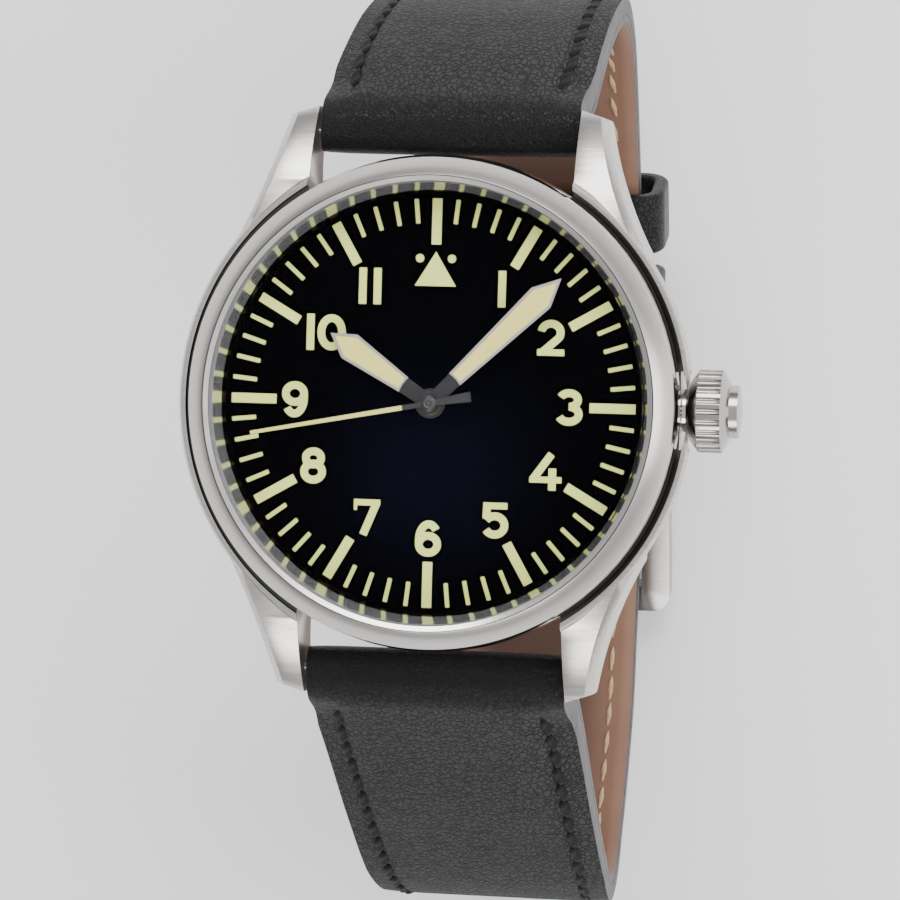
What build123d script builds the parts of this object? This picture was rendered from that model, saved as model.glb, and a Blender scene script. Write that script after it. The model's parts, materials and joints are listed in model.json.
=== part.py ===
from build123d import *
import os
from math import asin, atan2, cos, degrees, hypot, pi, radians, sin, sqrt

os.makedirs("parts", exist_ok=True)

# A hand-wound pilot watch on a closed leather strap.
# The origin lies on the hands' axis, in the case back's outer face.
# +X points to 3 o'clock and the crown, +Y to 12 o'clock and +Z out of the dial.

# Case and bezel
LUG_GAP = 20.0
CASE_RADIUS = 19.45
CASE_FLANK_RADIUS = 18.8
CASE_LOW_RADIUS = 18.0
CASE_TOP_RADIUS = 19.2
CASE_BORE = 16.6
CASE_LOW_BEVEL = 1.5
CASE_TOP_BEVEL = 0.45
CASE_TOP_DROP = 0.3
CASE_GROOVE_RADIUS = 18.85
CASE_GROOVE_DEPTH = 0.5
WAIST_RADIUS = 18.2
LUG_TIP_Y = 22.15
LUG_TIP_TOP = 3.0
LUG_TIP_LOW = 0.45
LUG_TIP_WIDTH = 2.1
LUG_TIP_SLANT = 0.65
LUG_TIP_CORNER = 0.5
LUG_FOOT_Y = 8.5
LUG_ROOT_Y = 11.3
LUG_ROOT_WIDTH = 5.65
LUG_MID_Y = 16.7
LUG_MID_WIDTH = 3.3
LUG_BEVEL = 0.55
BEZEL_RADIUS = 18.5
BEZEL_FACE_RADIUS = 18.2
BEZEL_BORE = 16.85
BEZEL_FACE_RISE = 1.55
BEZEL_INNER_RISE = 3.0
BEZEL_SHADOW_GAP = 0.15
COLLAR_RADIUS = 17.6
COLLAR_HEIGHT = 1.2

# Case back
BACK_FLANGE = 0.95
BACK_RADIUS = 17.9
BACK_SKIRT_RADIUS = 17.3
BACK_SKIRT_WALL = 0.85
BACK_SKIRT_HEIGHT = 1.6
BACK_SEAT_DEPTH = 1.95
BACK_EDGE_BEVEL = 0.4
BACK_NOTCHES = 6
BACK_NOTCH_RADIUS = 0.9
BACK_NOTCH_DEPTH = 0.5
GASKET_WIDTH = 0.35
GASKET_HEIGHT = 0.3

# Crystal, flange ring and dial
DIAL_TOP = 7.3
DIAL_THICKNESS = 0.4
DIAL_RADIUS = 16.0
DIAL_HOLE = 1.0
CRYSTAL_RADIUS = 16.68
CRYSTAL_BEVEL = 0.55
CRYSTAL_EDGE_LOW = 2.0
CRYSTAL_EDGE_TOP = 3.1
CRYSTAL_DOME = 0.25
FLANGE_FOOT_RADIUS = 15.5
FLANGE_TOP_RADIUS = 16.25
FLANGE_CLEARANCE = 0.1
LUME_HEIGHT = 0.06
MARK_OUTER = 15.2
HOUR_MARK_INNER = 11.79
HOUR_MARK_WIDTH = 0.72
MINUTE_MARK_INNER = 13.4
MINUTE_MARK_WIDTH = 0.31
TRIANGLE_TIP = 11.25
TRIANGLE_BASE = 8.7
TRIANGLE_HALF = 1.55
DOT_X = 1.2
DOT_Y = 10.75
DOT_RADIUS = 0.31

# Hands, with clock angles at rest in degrees
HAND_THICKNESS = 0.16
HOUR_LEVEL = 0.75
MINUTE_LEVEL = 1.2
SECOND_LEVEL = 1.62
HOUR_TURN = 303.3
MINUTE_TURN = 45.4
SECOND_TURN = 259.2
HAND_BORDER = 0.2
HOUR_TIP = 9.15
HOUR_SHOULDER = 7.4
HOUR_SHOULDER_HALF = 1.055
HOUR_ROOT = 2.4
HOUR_ROOT_HALF = 0.64
HOUR_HUB = 1.12
MINUTE_TIP = 13.5
MINUTE_SHOULDER = 11.42
MINUTE_SHOULDER_HALF = 1.02
MINUTE_ROOT = 2.58
MINUTE_ROOT_HALF = 0.6
MINUTE_HUB = 0.83
NECK_HALF_SHARE = 0.82
SECOND_TIP = 13.6
SECOND_TIP_HALF = 0.125
SECOND_ROOT_HALF = 0.185
SECOND_HUB = 0.58
SECOND_TAIL = 3.2
SECOND_TAIL_HALF = 0.375

# Crown, tube and stem
CROWN_AXIS_DROP = 2.4
CROWN_RADIUS = 3.08
CROWN_BACK_RADIUS = 1.95
CROWN_BACK_GAP = 0.47
CROWN_BACK_BEVEL = 0.83
CROWN_GRIP_LENGTH = 1.75
CROWN_FRONT_BEVEL = 0.55
CROWN_FRONT_RADIUS = 2.1
CROWN_CAP_RADIUS = 1.98
CROWN_CAP_LENGTH = 0.85
CROWN_CAP_DOME = 0.22
CROWN_FLUTES = 24
CROWN_FLUTE_RADIUS = 0.22
CROWN_SOCKET_RADIUS = 1.35
CROWN_SOCKET_DEPTH = 2.1
CROWN_GASKET_SET = 0.15
CROWN_GASKET_WIDTH = 0.5
CROWN_SEAT_DEPTH = 1.05
CROWN_SEAT_RADIUS = 3.3
CROWN_PULL = 1.0
TUBE_RADIUS = 1.25
TUBE_COLLAR_RADIUS = 1.62
TUBE_COLLAR_LENGTH = 0.4
TUBE_NOSE_LENGTH = 1.85
TUBE_ROOT_X = 16.75
TUBE_NOSE_RADIUS = 0.95
STEM_RADIUS = 0.45
STEM_GROOVE_RADIUS = 0.28
STEM_GROOVE_X = 12.75
STEM_GROOVE_WIDTH = 0.6
STEM_END_X = 21.4
STEM_SQUARE = 0.62
STEM_PILOT_RADIUS = 0.25
STEM_PILOT_X = 6.5
STEM_SQUARE_X = 8.1
WINDING_PINION_X = 10.9
WINDING_PINION_LENGTH = 1.3
WINDING_PINION_RADIUS = 1.92
SLIDING_PINION_X = 8.75
SLIDING_PINION_LENGTH = 1.95
SLIDING_PINION_RADIUS = 1.1
SLIDING_GROOVE_RADIUS = 0.72
SLIDING_GROOVE_WIDTH = 0.5
SLIDING_TOOTH_DEPTH = 0.25

# Movement frame
RUNNING_GAP = 0.03
ASSEMBLY_GAP = 0.05
PLATE_RADIUS = 14.6
PLATE_THICKNESS = 2.5
RING_LIP = 0.5
RING_LIP_WIDTH = 0.45
RING_SKIRT_GAP = 0.1
TRAIN_SPACE = 1.9
BRIDGE_THICKNESS = 0.85
BRIDGE_WALL = 0.7
BRIDGE_INSET = 0.6
BRIDGE_SPLIT = 0.3
BACK_WORKS_THICKNESS = 0.4
MOTION_RECESS = 0.95
MOTION_RECESS_RADIUS = 3.1
KEYLESS_RECESS = 0.85
KEYLESS_WIDTH = 6.3
KEYLESS_OUTER_X = 14.2
KEYLESS_WINDOW_X = 7.6
LEVER_THICKNESS = 0.35
LEVER_HALF = 0.4
LEVER_PIN = 0.2
LEVER_POST = 0.3
SETTING_LEVER_X = 13.25
SETTING_LEVER_Y = -3.0
YOKE_X = 9.3
YOKE_Y = -4.6
JEWEL_RADIUS = 0.6
JEWEL_THICKNESS = 0.3
SCREW_RADIUS = 0.62
SCREW_HEAD = 0.35
SCREW_SHANK = 0.32
SCREW_LENGTH = 3.3
SCREW_SLOT = 0.16

# Wheels: teeth, modules and thicknesses
WHEEL_THICKNESS = 0.22
PIVOT_RADIUS = 0.11
ARBOR_RADIUS = 0.26
PIVOT_LENGTH = 0.35
WHEEL_RIM = 0.55
WHEEL_HUB = 0.75
WHEEL_SPOKE = 0.4
BARREL_TEETH = 60
BARREL_MODULE = 0.2
CENTRE_PINION_TEETH = 10
CENTRE_TEETH = 64
CENTRE_MODULE = 0.135
THIRD_PINION_TEETH = 8
THIRD_TEETH = 60
FOURTH_PINION_TEETH = 8
FOURTH_TEETH = 70
FOURTH_MODULE = 0.11
ESCAPE_PINION_TEETH = 7
ESCAPE_TEETH = 15
ESCAPE_RADIUS = 2.0
CANNON_TEETH = 10
MINUTE_WHEEL_TEETH = 30
MINUTE_PINION_TEETH = 8
HOUR_WHEEL_TEETH = 32
MOTION_MODULE = 0.15
SETTING_TEETH = 16
RATCHET_TEETH = 44
CROWN_WHEEL_TEETH = 28
WINDING_MODULE = 0.2
WINDING_PINION_TEETH = 16
BARREL_TURN = 60.0
THIRD_TURN = 195.0
FOURTH_TURN = 255.0
ESCAPE_TURN = -20.0
CROWN_WHEEL_Y = 0.6
BARREL_WALL = 0.3
BARREL_ARBOR_RADIUS = 1.2
SPRING_TURNS = 6
SPRING_THICKNESS = 0.13
SPRING_HEIGHT = 0.7
SPRING_CLEARANCE = 0.1
BALANCE_RADIUS = 4.3
BALANCE_RIM = 0.5
BALANCE_THICKNESS = 0.4
BALANCE_X = 4.7
BALANCE_Y = -7.7
FORK_SHARE = 0.4
HAIRSPRING_TURNS = 7
HAIRSPRING_RADIUS = 2.3
HAIRSPRING_THICKNESS = 0.06
HAIRSPRING_HEIGHT = 0.15

# Centre stack radii
SECOND_ARBOR = 0.14
CENTRE_TUBE_BORE = 0.18
CENTRE_TUBE = 0.38
CANNON_BORE = 0.41
CANNON_TUBE = 0.6
HOUR_TUBE_BORE = 0.64
HOUR_TUBE = 0.86

# Spring bars
BAR_Y = 20.3
BAR_Z = 1.75
BAR_TUBE_RADIUS = 0.72
BAR_TUBE_END_GAP = 0.35
BAR_PIN_RADIUS = 0.4
BAR_PIN_REACH = 1.0
BAR_PIN_LENGTH = 2.4
BAR_PIN_BORE_DEPTH = 3.4

# Strap
STRAP_FRONT_HALF = 9.85
STRAP_FRONT_Z = 0.2
STRAP_WIDE_HALF = 10.1
STRAP_WIDE_Z = -3.0
STRAP_SIDE_HALF = 9.95
STRAP_SIDE_Z = -25.0
STRAP_BACK_HALF = 9.0
STRAP_BACK_Z = -44.5
LINING = 0.8
LEATHER_BACK = 1.4
PADDED_LEATHER = 3.4
ROLL_RADIUS = 1.62
ROLL_BORE_GAP = 0.08
BACK_ARC_Y = -9.0
BACK_LOWEST_Z = -52.4
BACK_ARC_RADIUS = 75.0
LAYER_GAP = 0.06
TAIL_TIP_Y = 24.5
TAIL_HOLE_PITCH = 6.0
TAIL_HOLE_RADIUS = 1.0
TONGUE_SLOT_Y = (-5.5, -1.5)
UPPER_POINTS_LENGTH = 33.1
UPPER_POINTS_DEPTH = 40.0
LOWER_POINTS_LENGTH = 42.0
LOWER_POINTS_DEPTH = 50.3

# Buckle and keepers
BUCKLE_BAR_Y = -2.0
BUCKLE_BAR_RADIUS = 0.65
BUCKLE_BAR_HALF = 11.0
BUCKLE_LENGTH = 17.1
BUCKLE_SLOPE = 17.7
BUCKLE_HALF = 11.65
BUCKLE_SIDE = 2.5
BUCKLE_THICKNESS = 1.9
BUCKLE_FRONT_BAR = 2.3
BUCKLE_CORNER = 1.6
TONGUE_HALF = 0.85
TONGUE_THICKNESS = 0.9
TONGUE_RING_WALL = 0.4
TONGUE_REST_GAP = 0.22
TONGUE_KNEE_Y = -4.6
TONGUE_KNEE_Z = -52.95
TONGUE_OVERHANG = 0.9
TONGUE_SLOT_HALF = 1.0
KEEPER_WIDTH = 5.3
KEEPER_WALL = 1.25
KEEPER_GAP = 0.3
FREE_KEEPER_HALF = 9.95
FIXED_KEEPER_HALF = 9.6
FREE_KEEPER_Y = 16.4
FIXED_KEEPER_Y = 8.9
KEEPER_CORNER = 1.2
UPPER_JOIN_SHARE = 0.583
LOWER_JOIN_SHARE = 0.5

OVERRUN = 5.0

# Places that follow from the driving sizes
CASE_TOP = DIAL_TOP - CASE_TOP_DROP
COLLAR_TOP = CASE_TOP + COLLAR_HEIGHT
PLATE_TOP = DIAL_TOP - DIAL_THICKNESS
PLATE_LOW = PLATE_TOP - PLATE_THICKNESS
BRIDGE_TOP = PLATE_LOW - TRAIN_SPACE
BRIDGE_LOW = BRIDGE_TOP - BRIDGE_THICKNESS
CROWN_Z = DIAL_TOP - CROWN_AXIS_DROP
LUG_INNER = LUG_GAP / 2
CROWN_SEAT_X = CASE_RADIUS - CROWN_SEAT_DEPTH
CROWN_BACK_X = CROWN_SEAT_X + CROWN_BACK_GAP
BACK_ARC_Z = BACK_LOWEST_Z + BACK_ARC_RADIUS
BACK_ARC_UPPER_Y = UPPER_JOIN_SHARE * UPPER_POINTS_LENGTH
BACK_ARC_LOWER_Y = -LOWER_JOIN_SHARE * LOWER_POINTS_LENGTH


def raised(plan, low, thickness):
    """Raise a flat plan from one height by its thickness."""
    return Pos(0, 0, low) * extrude(plan, thickness, dir=(0, 0, 1))


def dome_sphere(half, rise):
    """The radius of the ball whose cap has this half width and rise."""
    return (half ** 2 + rise ** 2) / (2 * rise)


def turned(points):
    """Turn a closed half section of radii and heights about the hands' axis."""
    outline = Polyline(*[(radius, 0, height) for radius, height in points], close=True)
    return revolve(make_face(outline), Axis.Z)


def disc(radius, low, high, x=0, y=0):
    """A round plate or post that stands on Z between two heights."""
    blank = Cylinder(radius, high - low, align=(Align.CENTER, Align.CENTER, Align.MIN))
    return Pos(x, y, low) * blank


def ring(outer, inner, low, high, x=0, y=0):
    """A flat ring between two radii and two heights."""
    return disc(outer, low, high, x, y) - disc(inner, low - OVERRUN, high + OVERRUN, x, y)


def rod_x(radius, left, right, y=0, z=CROWN_Z):
    """A round bar along X, on the stem's axis unless told otherwise."""
    bar = Cylinder(radius, right - left, align=(Align.CENTER, Align.CENTER, Align.MIN))
    return Pos(left, y, z) * Rot(0, 90, 0) * bar


def block(x_range, y_range, z_range):
    """A rectangular block between pairs of limits."""
    size = [high - low for low, high in (x_range, y_range, z_range)]
    centre = [(high + low) / 2 for low, high in (x_range, y_range, z_range)]
    return Pos(*centre) * Box(*size)


def turn_about_z(radius, degrees_turn):
    """The place at a radius and an angle from +X."""
    return radius * cos(radians(degrees_turn)), radius * sin(radians(degrees_turn))


def save(name, shape):
    """Write one named node."""
    solids = shape.solids()
    whole = solids[0] if len(solids) == 1 else Compound(children=list(solids))
    export_step(whole, "parts/" + name + ".step")


# Case middle: a turned ring, four lugs, the collar that the bezel snaps on,
# the crown's flat seat and the spring bars' holes.

LUG_START_SHARE = 0.55


def lug():
    """One lug, from the case flank to its slanted tip, with a polished bevel outside."""
    start = LUG_START_SHARE * LUG_TIP_Y
    top = TangentArc((start, CASE_TOP), (LUG_TIP_Y, LUG_TIP_TOP), tangent=(1, 0))
    nose = ThreePointArc((LUG_TIP_Y, LUG_TIP_TOP),
                         (LUG_TIP_Y - LUG_TIP_CORNER / 2, (LUG_TIP_TOP + LUG_TIP_LOW) / 3),
                         (LUG_TIP_Y - 2 * LUG_TIP_CORNER, LUG_TIP_LOW))
    under = Polyline(nose @ 1, (CASE_LOW_RADIUS, BACK_FLANGE), (start, BACK_FLANGE), (start, CASE_TOP))
    side = make_face(Curve() + [top, nose, under])
    bar = extrude(Plane.YZ * side, LUG_GAP)
    flank = ThreePointArc((LUG_INNER + LUG_ROOT_WIDTH, LUG_ROOT_Y),
                          (LUG_INNER + LUG_MID_WIDTH, LUG_MID_Y),
                          (LUG_INNER + LUG_TIP_WIDTH, LUG_TIP_Y - LUG_TIP_SLANT))
    outline = Polyline(flank @ 1, (LUG_INNER, LUG_TIP_Y + ASSEMBLY_GAP), (LUG_INNER, LUG_FOOT_Y),
                       (LUG_INNER + LUG_ROOT_WIDTH, LUG_FOOT_Y), flank @ 0)
    plan = extrude(make_face(Curve() + [flank, outline]), CASE_TOP + OVERRUN)
    foot = block((0, LUG_GAP), (LUG_FOOT_Y, start), (BACK_FLANGE, CASE_TOP - 2 * CASE_TOP_BEVEL))
    shape = (bar + foot) & plan
    top_face = shape.faces().filter_by(GeomType.CYLINDER).sort_by(Axis.Z)[-1]
    outer = [edge for edge in top_face.edges() if edge.center().X > LUG_INNER + LUG_TIP_WIDTH / 2]
    return chamfer(max(outer, key=lambda edge: edge.length), LUG_BEVEL)


def case_middle():
    """The case ring with its lugs, bores, crown seat and the groove round the bezel."""
    ring_blank = turned([
        (CASE_BORE, BACK_FLANGE), (CASE_LOW_RADIUS, BACK_FLANGE),
        (CASE_FLANK_RADIUS, BACK_FLANGE + CASE_LOW_BEVEL), (CASE_RADIUS, CASE_TOP - CASE_TOP_BEVEL),
        (CASE_TOP_RADIUS, CASE_TOP), (COLLAR_RADIUS, CASE_TOP), (COLLAR_RADIUS, COLLAR_TOP),
        (CASE_BORE, COLLAR_TOP)])
    waist = block((-LUG_INNER, LUG_INNER), (0, LUG_TIP_Y + OVERRUN), (-OVERRUN, CASE_TOP))
    waist -= disc(WAIST_RADIUS, -OVERRUN, CASE_TOP + OVERRUN)
    waist += mirror(waist, Plane.XZ)
    one = lug()
    lugs = [one, mirror(one, Plane.YZ)]
    lugs += [mirror(piece, Plane.XZ) for piece in lugs]
    shape = ring_blank - waist
    for piece in lugs:
        shape += piece
    shape -= ring(CASE_GROOVE_RADIUS, COLLAR_RADIUS, CASE_TOP - CASE_GROOVE_DEPTH, CASE_TOP + OVERRUN)
    shape -= disc(CASE_BORE, -OVERRUN, COLLAR_TOP + OVERRUN)
    shape -= disc(BACK_SKIRT_RADIUS, -OVERRUN, BACK_FLANGE + BACK_SEAT_DEPTH)
    shape -= rod_x(CROWN_SEAT_RADIUS, CROWN_SEAT_X, CASE_RADIUS + OVERRUN)
    shape -= rod_x(TUBE_RADIUS + RUNNING_GAP, 0, CASE_RADIUS)
    for side in (-1, 1):
        reach = LUG_INNER + BAR_PIN_REACH + RUNNING_GAP
        shape -= rod_x(BAR_PIN_RADIUS + RUNNING_GAP, -reach, reach, side * BAR_Y, BAR_Z)
    return shape


def bezel():
    """The fixed bezel: a sloped satin face over a leaning polished wall."""
    inside = COLLAR_RADIUS + RUNNING_GAP
    low = CASE_TOP + BEZEL_SHADOW_GAP
    return turned([
        (inside, low), (BEZEL_RADIUS, low),
        (BEZEL_FACE_RADIUS, DIAL_TOP + BEZEL_FACE_RISE), (BEZEL_BORE, DIAL_TOP + BEZEL_INNER_RISE),
        (BEZEL_BORE, COLLAR_TOP), (inside, COLLAR_TOP)])


def crystal():
    """The domed crystal with its bevelled edge."""
    low = DIAL_TOP + CRYSTAL_EDGE_LOW
    top = DIAL_TOP + CRYSTAL_EDGE_TOP
    half = CRYSTAL_RADIUS - CRYSTAL_BEVEL
    ball = dome_sphere(half, CRYSTAL_DOME)
    blank = turned([(0, low), (CRYSTAL_RADIUS, low), (CRYSTAL_RADIUS, top - CRYSTAL_BEVEL), (half, top),
                    (half, top + CRYSTAL_DOME), (0, top + CRYSTAL_DOME)])
    blank &= Pos(0, 0, top + CRYSTAL_DOME - ball) * Sphere(ball) + disc(CRYSTAL_RADIUS, low, top)
    hollow = Pos(0, 0, low + CRYSTAL_DOME - ball) * Sphere(ball)
    return blank - (hollow & disc(half, low - OVERRUN, top))


def flange_ring():
    """The polished ring that leans out from the dial to the crystal."""
    outer = CASE_BORE - FLANGE_CLEARANCE
    return turned([
        (FLANGE_FOOT_RADIUS, DIAL_TOP), (outer, DIAL_TOP), (outer, DIAL_TOP + CRYSTAL_EDGE_LOW),
        (FLANGE_TOP_RADIUS, DIAL_TOP + CRYSTAL_EDGE_LOW)])


def crystal_gasket():
    """The dark ring pressed between crystal and bezel."""
    low = DIAL_TOP + CRYSTAL_EDGE_LOW
    return ring(BEZEL_BORE, CRYSTAL_RADIUS, low, DIAL_TOP + CRYSTAL_EDGE_TOP - CRYSTAL_BEVEL / 2)


def case_back():
    """The screwed case back with its skirt, face step and key notches."""
    skirt = BACK_SKIRT_RADIUS - RUNNING_GAP
    skirt_top = BACK_FLANGE + BACK_SKIRT_HEIGHT
    shape = turned([
        (0, 0), (BACK_RADIUS - BACK_EDGE_BEVEL, 0), (BACK_RADIUS, BACK_EDGE_BEVEL),
        (BACK_RADIUS, BACK_FLANGE), (skirt, BACK_FLANGE), (skirt, skirt_top),
        (skirt - BACK_SKIRT_WALL, skirt_top), (skirt - BACK_SKIRT_WALL, BACK_FLANGE), (0, BACK_FLANGE)])
    for index in range(BACK_NOTCHES):
        x, y = turn_about_z(BACK_RADIUS, (index + 1 / 2) * 360 / BACK_NOTCHES)
        shape -= disc(BACK_NOTCH_RADIUS, -OVERRUN, BACK_NOTCH_DEPTH, x, y)
    return shape


def case_back_gasket():
    """The flat seal above the case back's skirt."""
    outer = BACK_SKIRT_RADIUS - RUNNING_GAP
    low = BACK_FLANGE + BACK_SKIRT_HEIGHT
    return ring(outer, outer - GASKET_WIDTH, low, low + GASKET_HEIGHT)


save("case_middle", case_middle())
save("bezel", bezel())
save("crystal", crystal())
save("crystal_gasket", crystal_gasket())
save("flange_ring", flange_ring())
save("case_back", case_back())
save("case_back_gasket", case_back_gasket())

# Dial with its raised luminous marks


def radial_mark(inner, width, clock_turn):
    """One luminous bar that points at the centre."""
    bar = block((-width / 2, width / 2), (inner, MARK_OUTER), (DIAL_TOP, DIAL_TOP + LUME_HEIGHT))
    return Rot(0, 0, -clock_turn) * bar


def dial():
    """The dial plate with its centre hole."""
    return ring(DIAL_RADIUS, DIAL_HOLE, PLATE_TOP, DIAL_TOP)


def dial_lume():
    """Hour bars, minute marks, the triangle and its two dots."""
    marks = []
    for minute in range(60):
        on_hour = minute % 5 == 0
        inner = HOUR_MARK_INNER if on_hour else MINUTE_MARK_INNER
        width = HOUR_MARK_WIDTH if on_hour else MINUTE_MARK_WIDTH
        marks.append(radial_mark(inner, width, minute * 6))
    triangle = Polygon((0, TRIANGLE_TIP), (-TRIANGLE_HALF, TRIANGLE_BASE),
                       (TRIANGLE_HALF, TRIANGLE_BASE), align=None)
    marks.append(Pos(0, 0, DIAL_TOP) * extrude(triangle, LUME_HEIGHT))
    for side in (-1, 1):
        marks.append(disc(DOT_RADIUS, DIAL_TOP, DIAL_TOP + LUME_HEIGHT, side * DOT_X, DOT_Y))
    return Compound(children=[mark.solids()[0] for mark in marks])


save("dial", dial())
save("dial_lume", dial_lume())

# Hands: skeleton blades whose windows hold the luminous paint


def blade_outline(root, root_half, shoulder, shoulder_half, tip):
    """The five-cornered blade of an hour or minute hand."""
    return Polygon((-root_half, root), (-shoulder_half, shoulder), (0, tip),
                   (shoulder_half, shoulder), (root_half, root), align=None)


def blade_hand(root, root_half, shoulder, shoulder_half, tip, hub, bore, level, clock_turn):
    """A blade with a window, a neck and a bored hub."""
    outline = blade_outline(root, root_half, shoulder, shoulder_half, tip)
    window = offset(outline, -HAND_BORDER, kind=Kind.INTERSECTION)
    neck_half = NECK_HALF_SHARE * root_half
    neck = Polygon((-neck_half, 0), (-root_half, root + HAND_BORDER),
                   (root_half, root + HAND_BORDER), (neck_half, 0), align=None)
    low = DIAL_TOP + level
    shape = raised(outline, low, HAND_THICKNESS) + raised(neck, low, HAND_THICKNESS)
    shape -= raised(window, low - OVERRUN, 2 * OVERRUN)
    shape += disc(hub, low, low + HAND_THICKNESS)
    shape -= disc(bore, low - OVERRUN, low + OVERRUN)
    return Rot(0, 0, -clock_turn) * shape


def second_hand():
    """The thin sweep hand, its tail and its capped hub."""
    low = DIAL_TOP + SECOND_LEVEL
    needle = Polygon((-SECOND_ROOT_HALF, 0), (-SECOND_TIP_HALF, SECOND_TIP),
                     (SECOND_TIP_HALF, SECOND_TIP), (SECOND_ROOT_HALF, 0), align=None)
    tail = Polygon((-SECOND_ROOT_HALF, 0), (SECOND_ROOT_HALF, 0), (SECOND_TAIL_HALF, -SECOND_TAIL),
                   (-SECOND_TAIL_HALF, -SECOND_TAIL), align=None)
    shape = raised(needle, low, HAND_THICKNESS) + raised(tail, low, HAND_THICKNESS)
    shape += disc(SECOND_HUB, low, low + HAND_THICKNESS)
    pipe_low = DIAL_TOP + MINUTE_LEVEL + HAND_THICKNESS + ASSEMBLY_GAP
    shape += disc(CENTRE_TUBE, pipe_low, low)
    shape -= disc(SECOND_ARBOR, pipe_low - OVERRUN, low + HAND_THICKNESS / 2)
    return Rot(0, 0, -SECOND_TURN) * shape


save("hour_hand", blade_hand(HOUR_ROOT, HOUR_ROOT_HALF, HOUR_SHOULDER, HOUR_SHOULDER_HALF, HOUR_TIP,
                             HOUR_HUB, HOUR_TUBE, HOUR_LEVEL, HOUR_TURN))
save("minute_hand", blade_hand(MINUTE_ROOT, MINUTE_ROOT_HALF, MINUTE_SHOULDER, MINUTE_SHOULDER_HALF,
                               MINUTE_TIP, MINUTE_HUB, CANNON_TUBE, MINUTE_LEVEL, MINUTE_TURN))
save("second_hand", second_hand())

# Wheels. Each tooth is flat topped, and each wheel is turned so that its gaps
# meet the teeth of the wheel that drives it.

TOOTH_TIP_SHARE = 0.28
ADDENDUM_SHARE = 0.7
DEDENDUM_SHARE = 1.0


def gear_face(teeth, module, first_gap=0):
    """A toothed outline; first_gap is the angle of one gap between two teeth."""
    pitch = teeth * module / 2
    tip = pitch + ADDENDUM_SHARE * module
    root = pitch - DEDENDUM_SHARE * module
    step = 360 / teeth
    points = []
    for index in range(teeth):
        gap = first_gap + index * step
        middle = gap + step / 2
        points.append(turn_about_z(root, gap))
        points.append(turn_about_z(tip, middle - step * TOOTH_TIP_SHARE / 2))
        points.append(turn_about_z(tip, middle + step * TOOTH_TIP_SHARE / 2))
    return Polygon(*points, align=None)


def meshed_gap(driver_teeth, driver_gap, driven_teeth, direction):
    """The driven wheel's gap angle that receives the driver's teeth.

    direction is the angle from the driver's axis to the driven wheel's axis.
    """
    driver_step = 360 / driver_teeth
    driven_step = 360 / driven_teeth
    lead = ((driver_gap + driver_step / 2 - direction) / driver_step) % 1
    return direction + 180 - lead * driven_step


def gear(teeth, module, low, high, gap=0, x=0, y=0):
    """A solid toothed blank, as pinions and small wheels are."""
    return Pos(x, y, low) * extrude(gear_face(teeth, module, gap), high - low)


def wheel(teeth, module, low, gap=0, x=0, y=0, spokes=4):
    """A thin toothed wheel with cut-out spokes."""
    face = gear_face(teeth, module, gap)
    rim_inner = teeth * module / 2 - DEDENDUM_SHARE * module - WHEEL_RIM
    window = Circle(rim_inner) - Circle(WHEEL_HUB)
    for index in range(spokes):
        window -= Rot(0, 0, index * 360 / spokes) * Pos(rim_inner / 2, 0) * \
            Rectangle(rim_inner + WHEEL_HUB, WHEEL_SPOKE)
    return Pos(x, y, low) * extrude(face - window, WHEEL_THICKNESS)


def arbor(x, y, low, high):
    """A wheel's arbor with a thin pivot at each end."""
    return (disc(ARBOR_RADIUS, low, high, x, y)
            + disc(PIVOT_RADIUS, low - PIVOT_LENGTH, high + PIVOT_LENGTH, x, y))


def centre_distance(first_teeth, second_teeth, module):
    """How far apart two meshed wheels stand."""
    return (first_teeth + second_teeth) * module / 2


BARREL_DISTANCE = centre_distance(BARREL_TEETH, CENTRE_PINION_TEETH, BARREL_MODULE)
BARREL_X, BARREL_Y = turn_about_z(BARREL_DISTANCE, BARREL_TURN)
THIRD_DISTANCE = centre_distance(CENTRE_TEETH, THIRD_PINION_TEETH, CENTRE_MODULE)
THIRD_X, THIRD_Y = turn_about_z(THIRD_DISTANCE, THIRD_TURN)
THIRD_MODULE = 2 * THIRD_DISTANCE / (THIRD_TEETH + FOURTH_PINION_TEETH)
fourth_step = turn_about_z(THIRD_DISTANCE, FOURTH_TURN)
FOURTH_X, FOURTH_Y = THIRD_X + fourth_step[0], THIRD_Y + fourth_step[1]
ESCAPE_DISTANCE = centre_distance(FOURTH_TEETH, ESCAPE_PINION_TEETH, FOURTH_MODULE)
escape_step = turn_about_z(ESCAPE_DISTANCE, ESCAPE_TURN)
ESCAPE_X, ESCAPE_Y = FOURTH_X + escape_step[0], FOURTH_Y + escape_step[1]
FORK_X = ESCAPE_X + FORK_SHARE * (BALANCE_X - ESCAPE_X)
FORK_Y = ESCAPE_Y + FORK_SHARE * (BALANCE_Y - ESCAPE_Y)
MOTION_DISTANCE = centre_distance(CANNON_TEETH, MINUTE_WHEEL_TEETH, MOTION_MODULE)
SETTING_X = MOTION_DISTANCE + centre_distance(MINUTE_WHEEL_TEETH, SETTING_TEETH, MOTION_MODULE)
RATCHET_DISTANCE = centre_distance(RATCHET_TEETH, CROWN_WHEEL_TEETH, WINDING_MODULE)
CROWN_WHEEL_X = BARREL_X + sqrt(RATCHET_DISTANCE ** 2 - (BARREL_Y - CROWN_WHEEL_Y) ** 2)


# Train levels, as shares of the space between the bridges and the plate
ARBOR_LOW_SHARE = 0.04
CENTRE_LEVEL_SHARE = 0.1
BARREL_LOW_SHARE = 0.27
FOURTH_LEVEL_SHARE = 0.4
PINION_TOP_SHARE = 0.63
ESCAPE_LEVEL_SHARE = 0.73
BARREL_TOP_SHARE = 0.95
HAIRSPRING_LEVEL_SHARE = 0.05
BALANCE_LEVEL_SHARE = 0.18
PALLET_BRIDGE_SHARE = 0.45


def train_height(share):
    """A height between the bridges' inner face and the plate's inner face."""
    return BRIDGE_TOP + share * TRAIN_SPACE


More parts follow.
